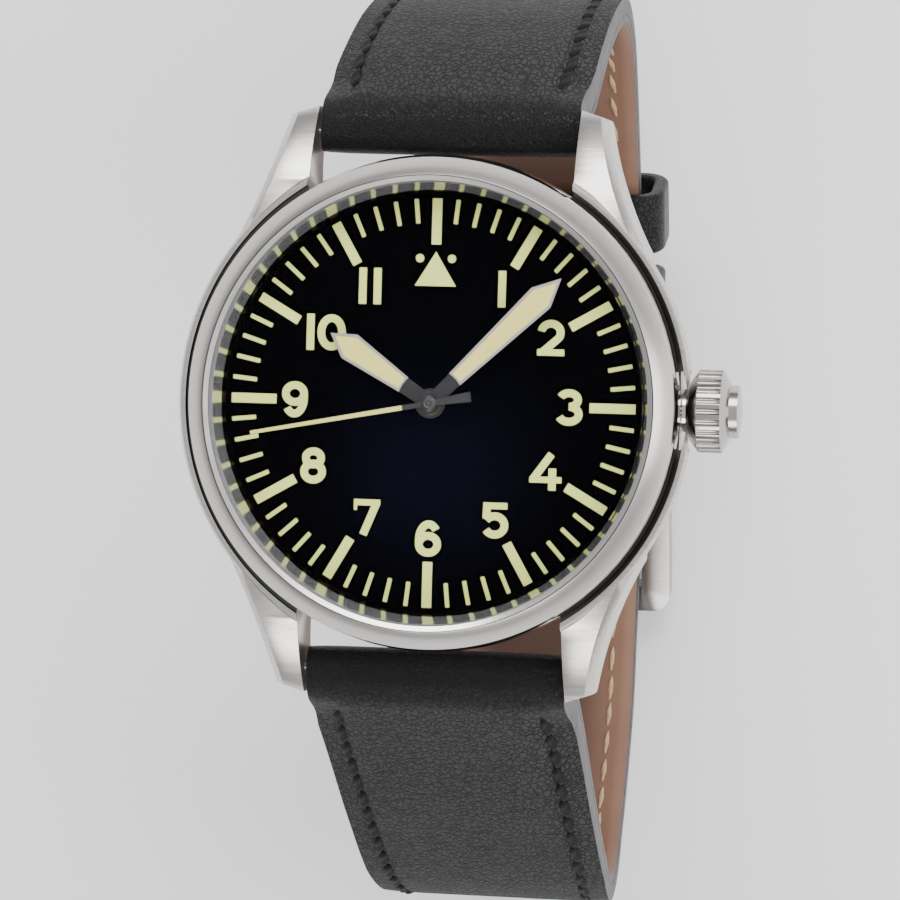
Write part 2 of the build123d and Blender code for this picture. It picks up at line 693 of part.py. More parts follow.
ARBOR_LOW = train_height(ARBOR_LOW_SHARE)
ARBOR_TOP = train_height(1 - ARBOR_LOW_SHARE)
CENTRE_LEVEL = train_height(CENTRE_LEVEL_SHARE)
BARREL_LOW = train_height(BARREL_LOW_SHARE)
BARREL_TOP = train_height(BARREL_TOP_SHARE)
FOURTH_LEVEL = train_height(FOURTH_LEVEL_SHARE)
PINION_TOP = train_height(PINION_TOP_SHARE)
ESCAPE_LEVEL = train_height(ESCAPE_LEVEL_SHARE)
BALANCE_LOW = train_height(BALANCE_LEVEL_SHARE)
BACK_WORKS_TOP = BRIDGE_LOW - ASSEMBLY_GAP
BACK_WORKS_LOW = BACK_WORKS_TOP - BACK_WORKS_THICKNESS

centre_pinion_gap = meshed_gap(BARREL_TEETH, 0, CENTRE_PINION_TEETH, BARREL_TURN + 180)
third_pinion_gap = meshed_gap(CENTRE_TEETH, 0, THIRD_PINION_TEETH, THIRD_TURN)
sweep_gap = meshed_gap(THIRD_TEETH, 0, FOURTH_PINION_TEETH, THIRD_TURN + 180)
fourth_pinion_gap = meshed_gap(THIRD_TEETH, 0, FOURTH_PINION_TEETH, FOURTH_TURN)
escape_pinion_gap = meshed_gap(FOURTH_TEETH, 0, ESCAPE_PINION_TEETH, ESCAPE_TURN)
minute_wheel_gap = meshed_gap(CANNON_TEETH, 0, MINUTE_WHEEL_TEETH, 0)
minute_pinion_gap = meshed_gap(HOUR_WHEEL_TEETH, 0, MINUTE_PINION_TEETH, 0)
setting_gap = meshed_gap(MINUTE_WHEEL_TEETH, minute_wheel_gap, SETTING_TEETH, 0)
ratchet_direction = degrees(atan2(CROWN_WHEEL_Y - BARREL_Y, CROWN_WHEEL_X - BARREL_X))
crown_wheel_gap = meshed_gap(RATCHET_TEETH, 0, CROWN_WHEEL_TEETH, ratchet_direction)


def centre_wheel():
    """The centre wheel and pinion on the hollow arbor that carries the cannon pinion."""
    top = DIAL_TOP + MINUTE_LEVEL
    shape = disc(CENTRE_TUBE, ARBOR_LOW, top)
    shape += wheel(CENTRE_TEETH, CENTRE_MODULE, CENTRE_LEVEL)
    shape += gear(CENTRE_PINION_TEETH, BARREL_MODULE, CENTRE_LEVEL + WHEEL_THICKNESS / 2, PINION_TOP,
                  centre_pinion_gap)
    return shape - disc(CENTRE_TUBE_BORE, ARBOR_LOW - OVERRUN, top + OVERRUN)


def sweep_pinion():
    """The seconds pinion behind the bridges, on the long arbor of the second hand."""
    shape = disc(SECOND_ARBOR, BACK_WORKS_LOW, DIAL_TOP + SECOND_LEVEL + HAND_THICKNESS / 2)
    return shape + gear(FOURTH_PINION_TEETH, THIRD_MODULE, BACK_WORKS_LOW, BACK_WORKS_TOP, sweep_gap)


def third_wheel():
    """The third wheel and pinion, with the driving wheel of the sweep seconds behind the bridge."""
    drive_low = BACK_WORKS_TOP - WHEEL_THICKNESS
    shape = disc(ARBOR_RADIUS, drive_low - ASSEMBLY_GAP, ARBOR_TOP, THIRD_X, THIRD_Y)
    shape += disc(PIVOT_RADIUS, ARBOR_TOP, ARBOR_TOP + PIVOT_LENGTH, THIRD_X, THIRD_Y)
    shape += gear(THIRD_PINION_TEETH, CENTRE_MODULE, ARBOR_LOW, PINION_TOP, third_pinion_gap,
                  THIRD_X, THIRD_Y)
    shape += wheel(THIRD_TEETH, THIRD_MODULE, ESCAPE_LEVEL, 0, THIRD_X, THIRD_Y)
    return shape + wheel(THIRD_TEETH, THIRD_MODULE, drive_low, 0, THIRD_X, THIRD_Y)


def fourth_wheel():
    """The fourth wheel, one turn a minute, with its pinion in the third wheel's teeth."""
    shape = arbor(FOURTH_X, FOURTH_Y, ARBOR_LOW, ARBOR_TOP)
    shape += wheel(FOURTH_TEETH, FOURTH_MODULE, FOURTH_LEVEL, 0, FOURTH_X, FOURTH_Y)
    return shape + gear(FOURTH_PINION_TEETH, THIRD_MODULE, PINION_TOP, ARBOR_TOP, fourth_pinion_gap,
                        FOURTH_X, FOURTH_Y)


ESCAPE_ROOT_SHARE = 0.72
ESCAPE_HOOK_SHARE = 0.55


def escape_wheel():
    """The escape wheel with hooked teeth, on a pinion in the fourth wheel's teeth."""
    step = 360 / ESCAPE_TEETH
    points = []
    for index in range(ESCAPE_TEETH):
        points.append(turn_about_z(ESCAPE_RADIUS, index * step))
        points.append(turn_about_z(ESCAPE_ROOT_SHARE * ESCAPE_RADIUS, (index + ESCAPE_HOOK_SHARE) * step))
        points.append(turn_about_z(ESCAPE_ROOT_SHARE * ESCAPE_RADIUS, (index + 1 - ESCAPE_HOOK_SHARE / 3) * step))
    crown_of_teeth = extrude(Polygon(*points, align=None), WHEEL_THICKNESS)
    shape = Pos(ESCAPE_X, ESCAPE_Y, ESCAPE_LEVEL) * crown_of_teeth
    shape += arbor(ESCAPE_X, ESCAPE_Y, ARBOR_LOW, ARBOR_TOP)
    return shape + gear(ESCAPE_PINION_TEETH, FOURTH_MODULE, ARBOR_LOW, PINION_TOP, escape_pinion_gap,
                        ESCAPE_X, ESCAPE_Y)


save("centre_wheel", centre_wheel())
save("sweep_pinion", sweep_pinion())
save("third_wheel", third_wheel())
save("fourth_wheel", fourth_wheel())
save("escape_wheel", escape_wheel())

# Going barrel with its arbor and coiled mainspring


def spiral_strip(inner, outer, turns, thickness, low, height):
    """A flat spring wound in half circles whose radius grows by one step each."""
    halves = 2 * turns
    growth = (outer - inner) / halves
    edges = []
    for side in (1, -1):
        arcs = []
        for index in range(halves):
            radius = inner + index * growth + side * thickness / 2
            centre = 0 if index % 2 == 0 else growth
            sign = 1 if index % 2 == 0 else -1
            arcs.append(ThreePointArc((centre + sign * radius, 0), (centre, sign * radius),
                                      (centre - sign * radius, 0)))
        edges.append(arcs)
    caps = [Line(edges[0][0] @ 0, edges[1][0] @ 0), Line(edges[0][-1] @ 1, edges[1][-1] @ 1)]
    face = make_face(Curve() + (edges[0] + edges[1] + caps))
    return Pos(0, 0, low) * extrude(face, height)


DRUM_RADIUS = BARREL_TEETH * BARREL_MODULE / 2 - DEDENDUM_SHARE * BARREL_MODULE
SPRING_LOW = BARREL_LOW + BARREL_WALL + ASSEMBLY_GAP
SPRING_SPACE_TOP = SPRING_LOW + SPRING_HEIGHT + ASSEMBLY_GAP
BARREL_PIVOT = BARREL_ARBOR_RADIUS / 2


def barrel():
    """The toothed drum and its lid, hollow for the mainspring."""
    shape = disc(DRUM_RADIUS, BARREL_LOW, BARREL_TOP, BARREL_X, BARREL_Y)
    shape += gear(BARREL_TEETH, BARREL_MODULE, BARREL_LOW, BARREL_LOW + BARREL_WALL + WHEEL_THICKNESS, 0,
                  BARREL_X, BARREL_Y)
    shape -= disc(DRUM_RADIUS - BARREL_WALL, BARREL_LOW + BARREL_WALL, SPRING_SPACE_TOP, BARREL_X, BARREL_Y)
    return shape - disc(BARREL_PIVOT + RUNNING_GAP, BARREL_LOW - OVERRUN, BARREL_TOP + OVERRUN,
                        BARREL_X, BARREL_Y)


def barrel_arbor():
    """The arbor that the mainspring's inner end winds round."""
    shape = disc(BARREL_ARBOR_RADIUS, SPRING_LOW, SPRING_SPACE_TOP - ASSEMBLY_GAP, BARREL_X, BARREL_Y)
    return shape + disc(BARREL_PIVOT, BACK_WORKS_LOW, PLATE_LOW + PIVOT_LENGTH, BARREL_X, BARREL_Y)


def mainspring():
    """The mainspring, coiled from beside the arbor to the drum's wall."""
    inner = BARREL_ARBOR_RADIUS + SPRING_CLEARANCE + SPRING_THICKNESS / 2
    outer = DRUM_RADIUS - BARREL_WALL - SPRING_THICKNESS / 2 - RUNNING_GAP
    turns_growth = (outer - inner) / (2 * SPRING_TURNS)
    coil = spiral_strip(inner, outer - turns_growth, SPRING_TURNS, SPRING_THICKNESS, SPRING_LOW,
                        SPRING_HEIGHT)
    return Pos(BARREL_X, BARREL_Y, 0) * coil


save("barrel", barrel())
save("barrel_arbor", barrel_arbor())
save("mainspring", mainspring())

# Escapement and balance

PALLET_REACH_SHARE = 1.06
PALLET_SPREAD = 34.0
PALLET_ARM = 0.3
FORK_END_SHARE = 0.8
ROLLER_RADIUS = 0.6
ROLLER_PIN_OFFSET = 0.45
ROLLER_PIN_RADIUS = 0.1
ROLLER_THICKNESS = 0.2
BALANCE_SPOKE = 0.5
fork_turn = degrees(atan2(BALANCE_Y - ESCAPE_Y, BALANCE_X - ESCAPE_X))


def pallet_fork():
    """The fork: two pallets towards the escape wheel and a lever towards the balance."""
    reach = PALLET_REACH_SHARE * ESCAPE_RADIUS
    pivot_reach = hypot(FORK_X - ESCAPE_X, FORK_Y - ESCAPE_Y)
    lever_end = FORK_END_SHARE * hypot(BALANCE_X - FORK_X, BALANCE_Y - FORK_Y)
    half = PALLET_ARM / 2
    tip_x = reach * cos(radians(PALLET_SPREAD)) - pivot_reach
    tip_y = reach * sin(radians(PALLET_SPREAD))
    arm = raised(Polygon((0, -half), (tip_x, tip_y), (tip_x + PALLET_ARM, tip_y), (0, half), align=None),
                 ESCAPE_LEVEL, WHEEL_THICKNESS)
    shape = disc(PIVOT_RADIUS, train_height(PALLET_BRIDGE_SHARE), PLATE_LOW + PIVOT_LENGTH)
    shape += disc(2 * PALLET_ARM, ESCAPE_LEVEL, ESCAPE_LEVEL + WHEEL_THICKNESS)
    shape += block((0, lever_end), (-half, half), (ESCAPE_LEVEL, ESCAPE_LEVEL + WHEEL_THICKNESS))
    shape += arm
    shape += mirror(arm, Plane.XZ)
    return Pos(FORK_X, FORK_Y, 0) * Rot(0, 0, fork_turn) * shape


def balance_wheel():
    """The balance: rim, three arms, staff and roller with its pin."""
    top = BALANCE_LOW + BALANCE_THICKNESS
    plan = Circle(BALANCE_RADIUS) - Circle(BALANCE_RADIUS - BALANCE_RIM)
    for index in range(3):
        arm = Pos(BALANCE_RADIUS / 2 - BALANCE_RIM / 4, 0) * Rectangle(BALANCE_RADIUS - BALANCE_RIM / 2,
                                                                       BALANCE_SPOKE)
        plan += Rot(0, 0, index * 120 + fork_turn) * arm
    shape = Pos(BALANCE_X, BALANCE_Y, BALANCE_LOW) * extrude(plan, BALANCE_THICKNESS)
    shape += arbor(BALANCE_X, BALANCE_Y, ARBOR_LOW, ARBOR_TOP)
    roller_low = ESCAPE_LEVEL - ROLLER_THICKNESS - ASSEMBLY_GAP
    shape += disc(ROLLER_RADIUS, roller_low, roller_low + ROLLER_THICKNESS, BALANCE_X, BALANCE_Y)
    pin = turn_about_z(ROLLER_PIN_OFFSET, fork_turn + 180)
    return shape + disc(ROLLER_PIN_RADIUS, roller_low, ESCAPE_LEVEL + WHEEL_THICKNESS,
                        BALANCE_X + pin[0], BALANCE_Y + pin[1])


def hairspring():
    """The hairspring, from beside the staff to its stud on the cock."""
    inner = ARBOR_RADIUS + SPRING_CLEARANCE + HAIRSPRING_THICKNESS / 2
    low = train_height(HAIRSPRING_LEVEL_SHARE)
    coil = spiral_strip(inner, HAIRSPRING_RADIUS, HAIRSPRING_TURNS, HAIRSPRING_THICKNESS, low,
                        HAIRSPRING_HEIGHT)
    return Pos(BALANCE_X, BALANCE_Y, 0) * coil


save("pallet_fork", pallet_fork())
save("balance_wheel", balance_wheel())
save("hairspring", hairspring())

# Motion works under the dial

MOTION_FLOOR = PLATE_TOP - MOTION_RECESS
MOTION_LOW = MOTION_FLOOR + ASSEMBLY_GAP
MOTION_WHEEL_TOP = MOTION_LOW + WHEEL_THICKNESS
HOUR_WHEEL_LOW = MOTION_WHEEL_TOP + 2 * ASSEMBLY_GAP


def cannon_pinion():
    """The tube that carries the minute hand and drives the motion works."""
    top = DIAL_TOP + MINUTE_LEVEL + HAND_THICKNESS
    shape = disc(CANNON_TUBE, MOTION_LOW, top)
    shape += gear(CANNON_TEETH, MOTION_MODULE, MOTION_LOW, MOTION_WHEEL_TOP)
    return shape - disc(CANNON_BORE, MOTION_LOW - OVERRUN, top + OVERRUN)


def hour_wheel():
    """The wheel and pipe that carry the hour hand."""
    top = DIAL_TOP + HOUR_LEVEL + HAND_THICKNESS
    shape = disc(HOUR_TUBE, HOUR_WHEEL_LOW, top)
    shape += gear(HOUR_WHEEL_TEETH, MOTION_MODULE, HOUR_WHEEL_LOW, HOUR_WHEEL_LOW + WHEEL_THICKNESS)
    return shape - disc(HOUR_TUBE_BORE, HOUR_WHEEL_LOW - OVERRUN, top + OVERRUN)


def minute_wheel():
    """The wheel and pinion between the cannon pinion and the hour wheel."""
    x = MOTION_DISTANCE
    shape = wheel(MINUTE_WHEEL_TEETH, MOTION_MODULE, MOTION_LOW, minute_wheel_gap, x)
    shape += gear(MINUTE_PINION_TEETH, MOTION_MODULE, MOTION_LOW, HOUR_WHEEL_LOW + WHEEL_THICKNESS,
                  minute_pinion_gap, x)
    return shape - disc(LEVER_POST + RUNNING_GAP, 0, PLATE_TOP, x)


def setting_wheel():
    """The small wheel that the sliding pinion turns when the crown is pulled."""
    shape = gear(SETTING_TEETH, MOTION_MODULE, MOTION_LOW, MOTION_WHEEL_TOP, setting_gap, SETTING_X)
    return shape - disc(LEVER_POST + RUNNING_GAP, 0, PLATE_TOP, SETTING_X)


save("cannon_pinion", cannon_pinion())
save("hour_wheel", hour_wheel())
save("minute_wheel", minute_wheel())
save("setting_wheel", setting_wheel())

# Winding and setting works: stem, pinions, wheels behind the bridge, levers


def along_x(shape, x):
    """Lay a shape that stands on Z along the stem, from a given X."""
    return Pos(x, 0, CROWN_Z) * Rot(0, 90, 0) * shape


def winding_stem():
    """The stem: pilot, square, groove for the setting lever and the end in the crown."""
    half_groove = STEM_GROOVE_WIDTH / 2
    shape = rod_x(STEM_PILOT_RADIUS, STEM_PILOT_X, STEM_SQUARE_X)
    half = STEM_SQUARE / 2
    shape += block((STEM_SQUARE_X, WINDING_PINION_X), (-half, half), (CROWN_Z - half, CROWN_Z + half))
    shape += rod_x(STEM_RADIUS, WINDING_PINION_X, STEM_END_X)
    groove = rod_x(STEM_RADIUS + OVERRUN, STEM_GROOVE_X - half_groove, STEM_GROOVE_X + half_groove)
    groove -= rod_x(STEM_GROOVE_RADIUS, 0, STEM_END_X)
    return shape - groove


def winding_pinion():
    """The toothed pinion that turns the crown wheel."""
    module = 2 * WINDING_PINION_RADIUS / (WINDING_PINION_TEETH + 2 * ADDENDUM_SHARE)
    blank = extrude(gear_face(WINDING_PINION_TEETH, module), WINDING_PINION_LENGTH)
    blank -= disc(STEM_RADIUS + RUNNING_GAP, -OVERRUN, OVERRUN)
    return along_x(blank, WINDING_PINION_X)


def sliding_pinion():
    """The pinion that rides on the stem's square, grooved for the yoke."""
    length = SLIDING_PINION_LENGTH
    teeth_module = 2 * SLIDING_PINION_RADIUS / (CANNON_TEETH + 2 * ADDENDUM_SHARE)
    blank = disc(SLIDING_PINION_RADIUS, SLIDING_TOOTH_DEPTH, length)
    blank += extrude(gear_face(CANNON_TEETH, teeth_module), SLIDING_TOOTH_DEPTH)
    middle = length / 2
    blank -= ring(SLIDING_PINION_RADIUS + OVERRUN, SLIDING_GROOVE_RADIUS,
                  middle - SLIDING_GROOVE_WIDTH / 2, middle + SLIDING_GROOVE_WIDTH / 2)
    side = STEM_SQUARE + 2 * RUNNING_GAP
    return along_x(blank - Box(side, side, 2 * length + OVERRUN), SLIDING_PINION_X)


def ratchet_wheel():
    """The ratchet wheel behind the barrel bridge, on the barrel arbor."""
    shape = gear(RATCHET_TEETH, WINDING_MODULE, BACK_WORKS_LOW, BACK_WORKS_TOP, 0, BARREL_X, BARREL_Y)
    return shape - disc(BARREL_PIVOT, 0, BRIDGE_TOP, BARREL_X, BARREL_Y)


CROWN_WHEEL_RIM_SHARE = 0.86


def crown_wheel():
    """The cup-shaped wheel between the winding pinion and the ratchet wheel."""
    rim = CROWN_WHEEL_TEETH * WINDING_MODULE / 2 - DEDENDUM_SHARE * WINDING_MODULE
    top = CROWN_Z - WINDING_PINION_RADIUS - RUNNING_GAP
    shape = gear(CROWN_WHEEL_TEETH, WINDING_MODULE, BACK_WORKS_LOW, BACK_WORKS_TOP, crown_wheel_gap,
                 CROWN_WHEEL_X, CROWN_WHEEL_Y)
    shape += ring(rim, CROWN_WHEEL_RIM_SHARE * rim, BACK_WORKS_LOW, top, CROWN_WHEEL_X, CROWN_WHEEL_Y)
    return shape - disc(WHEEL_HUB + RUNNING_GAP, 0, BRIDGE_TOP, CROWN_WHEEL_X, CROWN_WHEEL_Y)


CLICK_TURN = 150.0
CLICK_TIP_TURN = 126.0
CLICK_DISTANCE = 6.1
CLICK_RADIUS = 0.8
CLICK_X = BARREL_X + turn_about_z(CLICK_DISTANCE, CLICK_TURN)[0]
CLICK_Y = BARREL_Y + turn_about_z(CLICK_DISTANCE, CLICK_TURN)[1]


def click():
    """The pawl that lets the ratchet wheel turn one way only."""
    tip_radius = RATCHET_TEETH * WINDING_MODULE / 2 + ADDENDUM_SHARE * WINDING_MODULE + ASSEMBLY_GAP
    tip = turn_about_z(tip_radius, CLICK_TIP_TURN)
    back = turn_about_z(tip_radius + CLICK_RADIUS, CLICK_TIP_TURN)
    outline = Polygon((CLICK_X - BARREL_X, CLICK_Y - BARREL_Y), tip, back, align=None)
    plan = Pos(BARREL_X, BARREL_Y) * outline + Pos(CLICK_X, CLICK_Y) * Circle(CLICK_RADIUS)
    shape = Pos(0, 0, BACK_WORKS_LOW) * extrude(plan, BACK_WORKS_THICKNESS)
    return shape - disc(LEVER_POST + RUNNING_GAP, 0, BRIDGE_TOP, CLICK_X, CLICK_Y)


KEYLESS_FLOOR = PLATE_TOP - KEYLESS_RECESS
LEVER_LOW = KEYLESS_FLOOR + ASSEMBLY_GAP


def lever(pivot, tip, pin_low):
    """A flat arm from a pivot post to a pin that reaches down into a groove."""
    length = hypot(tip[0] - pivot[0], tip[1] - pivot[1])
    turn = degrees(atan2(tip[1] - pivot[1], tip[0] - pivot[0]))
    bar = Pos(length / 2, 0) * SlotCenterToCenter(length, 2 * LEVER_HALF) + Circle(2 * LEVER_HALF)
    shape = Pos(pivot[0], pivot[1], LEVER_LOW) * Rot(0, 0, turn) * extrude(bar, LEVER_THICKNESS)
    shape += disc(LEVER_PIN, pin_low, LEVER_LOW + LEVER_THICKNESS, tip[0], tip[1])
    return shape - disc(LEVER_POST + RUNNING_GAP, 0, PLATE_TOP, pivot[0], pivot[1])


def setting_lever():
    """The lever whose pin follows the groove of the stem."""
    tip_y = -(STEM_GROOVE_RADIUS + LEVER_PIN + 2 * RUNNING_GAP)
    return lever((SETTING_LEVER_X, SETTING_LEVER_Y), (STEM_GROOVE_X, tip_y), CROWN_Z)


def yoke():
    """The lever that shifts the sliding pinion along the stem."""
    tip_y = -(SLIDING_GROOVE_RADIUS + LEVER_PIN + RUNNING_GAP)
    tip_x = SLIDING_PINION_X + SLIDING_PINION_LENGTH / 2
    return lever((YOKE_X, YOKE_Y), (tip_x, tip_y), CROWN_Z)


save("winding_stem", winding_stem())
save("winding_pinion", winding_pinion())
save("sliding_pinion", sliding_pinion())
save("ratchet_wheel", ratchet_wheel())
save("crown_wheel", crown_wheel())
save("click", click())
save("setting_lever", setting_lever())
save("yoke", yoke())

# Movement frame: plate, bridges, cock, casing ring, jewels and screws

FRAME_RADIUS = PLATE_RADIUS - BRIDGE_INSET
POST_RADIUS = 1.1
BARREL_BRIDGE_SCREWS = ((-6.5, 10.5), (11.2, 6.0), (-10.3, 3.6))
TRAIN_BRIDGE_SCREWS = ((-11.3, -3.2), (-3.4, -12.2))
COCK_SCREW = (10.6, -6.0)
TRAIN_BRIDGE_X = -1.2
TRAIN_BRIDGE_Y = 0.6
BARREL_BRIDGE_LOW_Y = -2.9
PALLET_BRIDGE_Y = -11.6
PALLET_BRIDGE_HALF = 0.8
BRACKET_THICKNESS = 0.3
JEWEL_PLACES = ((FOURTH_X, FOURTH_Y), (ESCAPE_X, ESCAPE_Y), (BALANCE_X, BALANCE_Y))
PLATE_JEWEL_PLACES = JEWEL_PLACES + ((THIRD_X, THIRD_Y), (FORK_X, FORK_Y))
SCREW_PLACES = BARREL_BRIDGE_SCREWS + TRAIN_BRIDGE_SCREWS + (COCK_SCREW,)


def screw_hole(x, y):
    """A countersunk hole for one bridge screw, through bridge and plate."""
    hole = disc(SCREW_SHANK + RUNNING_GAP, BRIDGE_LOW - OVERRUN, BRIDGE_LOW + SCREW_LENGTH, x, y)
    return hole + disc(SCREW_RADIUS + RUNNING_GAP, BRIDGE_LOW - OVERRUN, BRIDGE_LOW + SCREW_HEAD, x, y)


def main_plate():
    """The main plate with its recesses, posts and bearing holes."""
    shape = disc(PLATE_RADIUS, PLATE_LOW, PLATE_TOP)
    length = SETTING_X
    slot = Pos(length / 2, 0) * SlotCenterToCenter(length, 2 * MOTION_RECESS_RADIUS)
    shape -= Pos(0, 0, MOTION_FLOOR) * extrude(slot, OVERRUN)
    shape -= block((KEYLESS_WINDOW_X - LEVER_HALF, KEYLESS_OUTER_X), (-KEYLESS_WIDTH, 0),
                   (KEYLESS_FLOOR, PLATE_TOP + OVERRUN))
    half_window = WINDING_PINION_RADIUS + ASSEMBLY_GAP
    window_end = WINDING_PINION_X + WINDING_PINION_LENGTH + ASSEMBLY_GAP
    shape -= block((KEYLESS_WINDOW_X, window_end), (-half_window, half_window),
                   (PLATE_LOW - OVERRUN, PLATE_TOP + OVERRUN))
    shape -= rod_x(STEM_RADIUS + RUNNING_GAP, KEYLESS_WINDOW_X, PLATE_RADIUS + OVERRUN)
    shape -= rod_x(STEM_PILOT_RADIUS + RUNNING_GAP, STEM_PILOT_X - ASSEMBLY_GAP, KEYLESS_WINDOW_X)
    pin_half = LEVER_PIN + STEM_GROOVE_RADIUS + LEVER_HALF
    shape -= block((STEM_GROOVE_X - LEVER_HALF, KEYLESS_OUTER_X + LEVER_POST), (-3 * pin_half / 2, 0),
                   (CROWN_Z - LEVER_PIN, KEYLESS_FLOOR + OVERRUN))
    posts = ((MOTION_DISTANCE, 0, MOTION_FLOOR), (SETTING_X, 0, MOTION_FLOOR),
             (SETTING_LEVER_X, SETTING_LEVER_Y, KEYLESS_FLOOR), (YOKE_X, YOKE_Y, KEYLESS_FLOOR))
    for x, y, floor in posts:
        shape += disc(LEVER_POST, floor - LEVER_POST, PLATE_TOP - 2 * ASSEMBLY_GAP, x, y)
    shape -= disc(CENTRE_TUBE + RUNNING_GAP, 0, PLATE_TOP)
    shape -= disc(BARREL_PIVOT + RUNNING_GAP, 0, PLATE_LOW + PIVOT_LENGTH + ASSEMBLY_GAP, BARREL_X, BARREL_Y)
    for x, y in PLATE_JEWEL_PLACES:
        shape -= disc(JEWEL_RADIUS, 0, PLATE_LOW + PIVOT_LENGTH + ASSEMBLY_GAP, x, y)
    for x, y in SCREW_PLACES:
        shape -= screw_hole(x, y)
    return shape


def bridge(region, places, screws):
    """A bridge cut to a plan region, with a rim, screw posts and bearing holes."""
    plate = Pos(0, 0, BRIDGE_LOW) * extrude(region, BRIDGE_THICKNESS)
    rim = region - Circle(FRAME_RADIUS - BRIDGE_WALL)
    plate += Pos(0, 0, BRIDGE_TOP) * extrude(rim, TRAIN_SPACE)
    for x, y in screws:
        plate += disc(POST_RADIUS, BRIDGE_TOP, PLATE_LOW, x, y)
    for x, y, radius in places:
        plate -= disc(radius, 0, PLATE_LOW, x, y)
    for x, y in screws:
        plate -= screw_hole(x, y)
    return plate


def half_region(x_low, x_high, y_low, y_high):
    """A rectangle of the movement's round plan."""
    x_low, x_high, y_low, y_high = (value * FRAME_RADIUS for value in (x_low, x_high, y_low, y_high))
    return Pos((x_low + x_high) / 2, (y_low + y_high) / 2) * Rectangle(x_high - x_low, y_high - y_low)


def barrel_bridge():
    """The large bridge over the barrel, the centre wheel and the winding works."""
    split_x = (TRAIN_BRIDGE_X + BRIDGE_SPLIT) / FRAME_RADIUS
    upper = half_region(-1, 1, (TRAIN_BRIDGE_Y + BRIDGE_SPLIT) / FRAME_RADIUS, 1)
    lower = half_region(split_x, 1, BARREL_BRIDGE_LOW_Y / FRAME_RADIUS, 1)
    region = Circle(FRAME_RADIUS) & (upper + lower)
    crown_hole = CROWN_WHEEL_TEETH * WINDING_MODULE / 2 + ASSEMBLY_GAP
    places = ((0, 0, CENTRE_TUBE + RUNNING_GAP), (BARREL_X, BARREL_Y, BARREL_PIVOT + RUNNING_GAP),
              (CROWN_WHEEL_X, CROWN_WHEEL_Y, crown_hole))
    shape = bridge(region, places, BARREL_BRIDGE_SCREWS)
    shape += disc(LEVER_POST, BACK_WORKS_LOW, BRIDGE_LOW + BRIDGE_THICKNESS / 2, CLICK_X, CLICK_Y)
    bracket_low = CROWN_Z - WINDING_PINION_RADIUS + RUNNING_GAP
    bracket_top = bracket_low + BRACKET_THICKNESS
    bracket_x = (CROWN_WHEEL_X - WHEEL_HUB, CROWN_WHEEL_X + WHEEL_HUB)
    hole_edge = CROWN_WHEEL_Y - crown_hole
    shape += block(bracket_x, (BARREL_BRIDGE_LOW_Y, CROWN_WHEEL_Y), (bracket_low, bracket_top))
    shape += block(bracket_x, (BARREL_BRIDGE_LOW_Y, hole_edge), (BRIDGE_TOP, bracket_top))
    return shape + disc(WHEEL_HUB, BACK_WORKS_LOW, bracket_top, CROWN_WHEEL_X, CROWN_WHEEL_Y)


def train_bridge():
    """The bridge over the third, fourth and escape wheels."""
    region = Circle(FRAME_RADIUS) & half_region(-1, TRAIN_BRIDGE_X / FRAME_RADIUS, -1,
                                                TRAIN_BRIDGE_Y / FRAME_RADIUS)
    places = ((THIRD_X, THIRD_Y, ARBOR_RADIUS + RUNNING_GAP), (FOURTH_X, FOURTH_Y, JEWEL_RADIUS),
              (ESCAPE_X, ESCAPE_Y, JEWEL_RADIUS))
    return bridge(region, places, TRAIN_BRIDGE_SCREWS)


def balance_cock():
    """The cock that carries the balance's outer pivot."""
    length = hypot(COCK_SCREW[0] - BALANCE_X, COCK_SCREW[1] - BALANCE_Y)
    turn = degrees(atan2(COCK_SCREW[1] - BALANCE_Y, COCK_SCREW[0] - BALANCE_X))
    bar = Pos(length / 2, 0) * SlotCenterToCenter(length, 2 * POST_RADIUS)
    region = Pos(BALANCE_X, BALANCE_Y) * Rot(0, 0, turn) * bar
    plate = Pos(0, 0, BRIDGE_LOW) * extrude(region, BRIDGE_THICKNESS)
    plate += disc(POST_RADIUS, BRIDGE_TOP, PLATE_LOW, *COCK_SCREW)
    plate -= disc(JEWEL_RADIUS, 0, PLATE_LOW, BALANCE_X, BALANCE_Y)
    return plate - screw_hole(*COCK_SCREW)


def pallet_bridge():
    """The small bridge over the pallet fork, under the balance."""
    low = train_height(PALLET_BRIDGE_SHARE)
    top = ESCAPE_LEVEL - ASSEMBLY_GAP
    length = FORK_Y - PALLET_BRIDGE_Y
    bar = Pos(FORK_X, (FORK_Y + PALLET_BRIDGE_Y) / 2) * Rot(0, 0, 90) * \
        SlotCenterToCenter(length, 2 * PALLET_BRIDGE_HALF)
    shape = Pos(0, 0, low) * extrude(bar, top - low)
    shape += disc(PALLET_BRIDGE_HALF, low, PLATE_LOW, FORK_X, PALLET_BRIDGE_Y)
    return shape - disc(PIVOT_RADIUS + RUNNING_GAP, 0, PLATE_LOW, FORK_X, FORK_Y)


def jewels():
    """The bearing jewels, pressed into plate, bridge and cock."""
    stones = []
    for x, y in PLATE_JEWEL_PLACES:
        stones.append(ring(JEWEL_RADIUS, PIVOT_RADIUS + RUNNING_GAP, PLATE_LOW, PLATE_LOW + JEWEL_THICKNESS,
                           x, y))
    for x, y in JEWEL_PLACES:
        stones.append(ring(JEWEL_RADIUS, PIVOT_RADIUS + RUNNING_GAP, BRIDGE_TOP - JEWEL_THICKNESS, BRIDGE_TOP,
                           x, y))
    return Compound(children=[stone.solids()[0] for stone in stones])


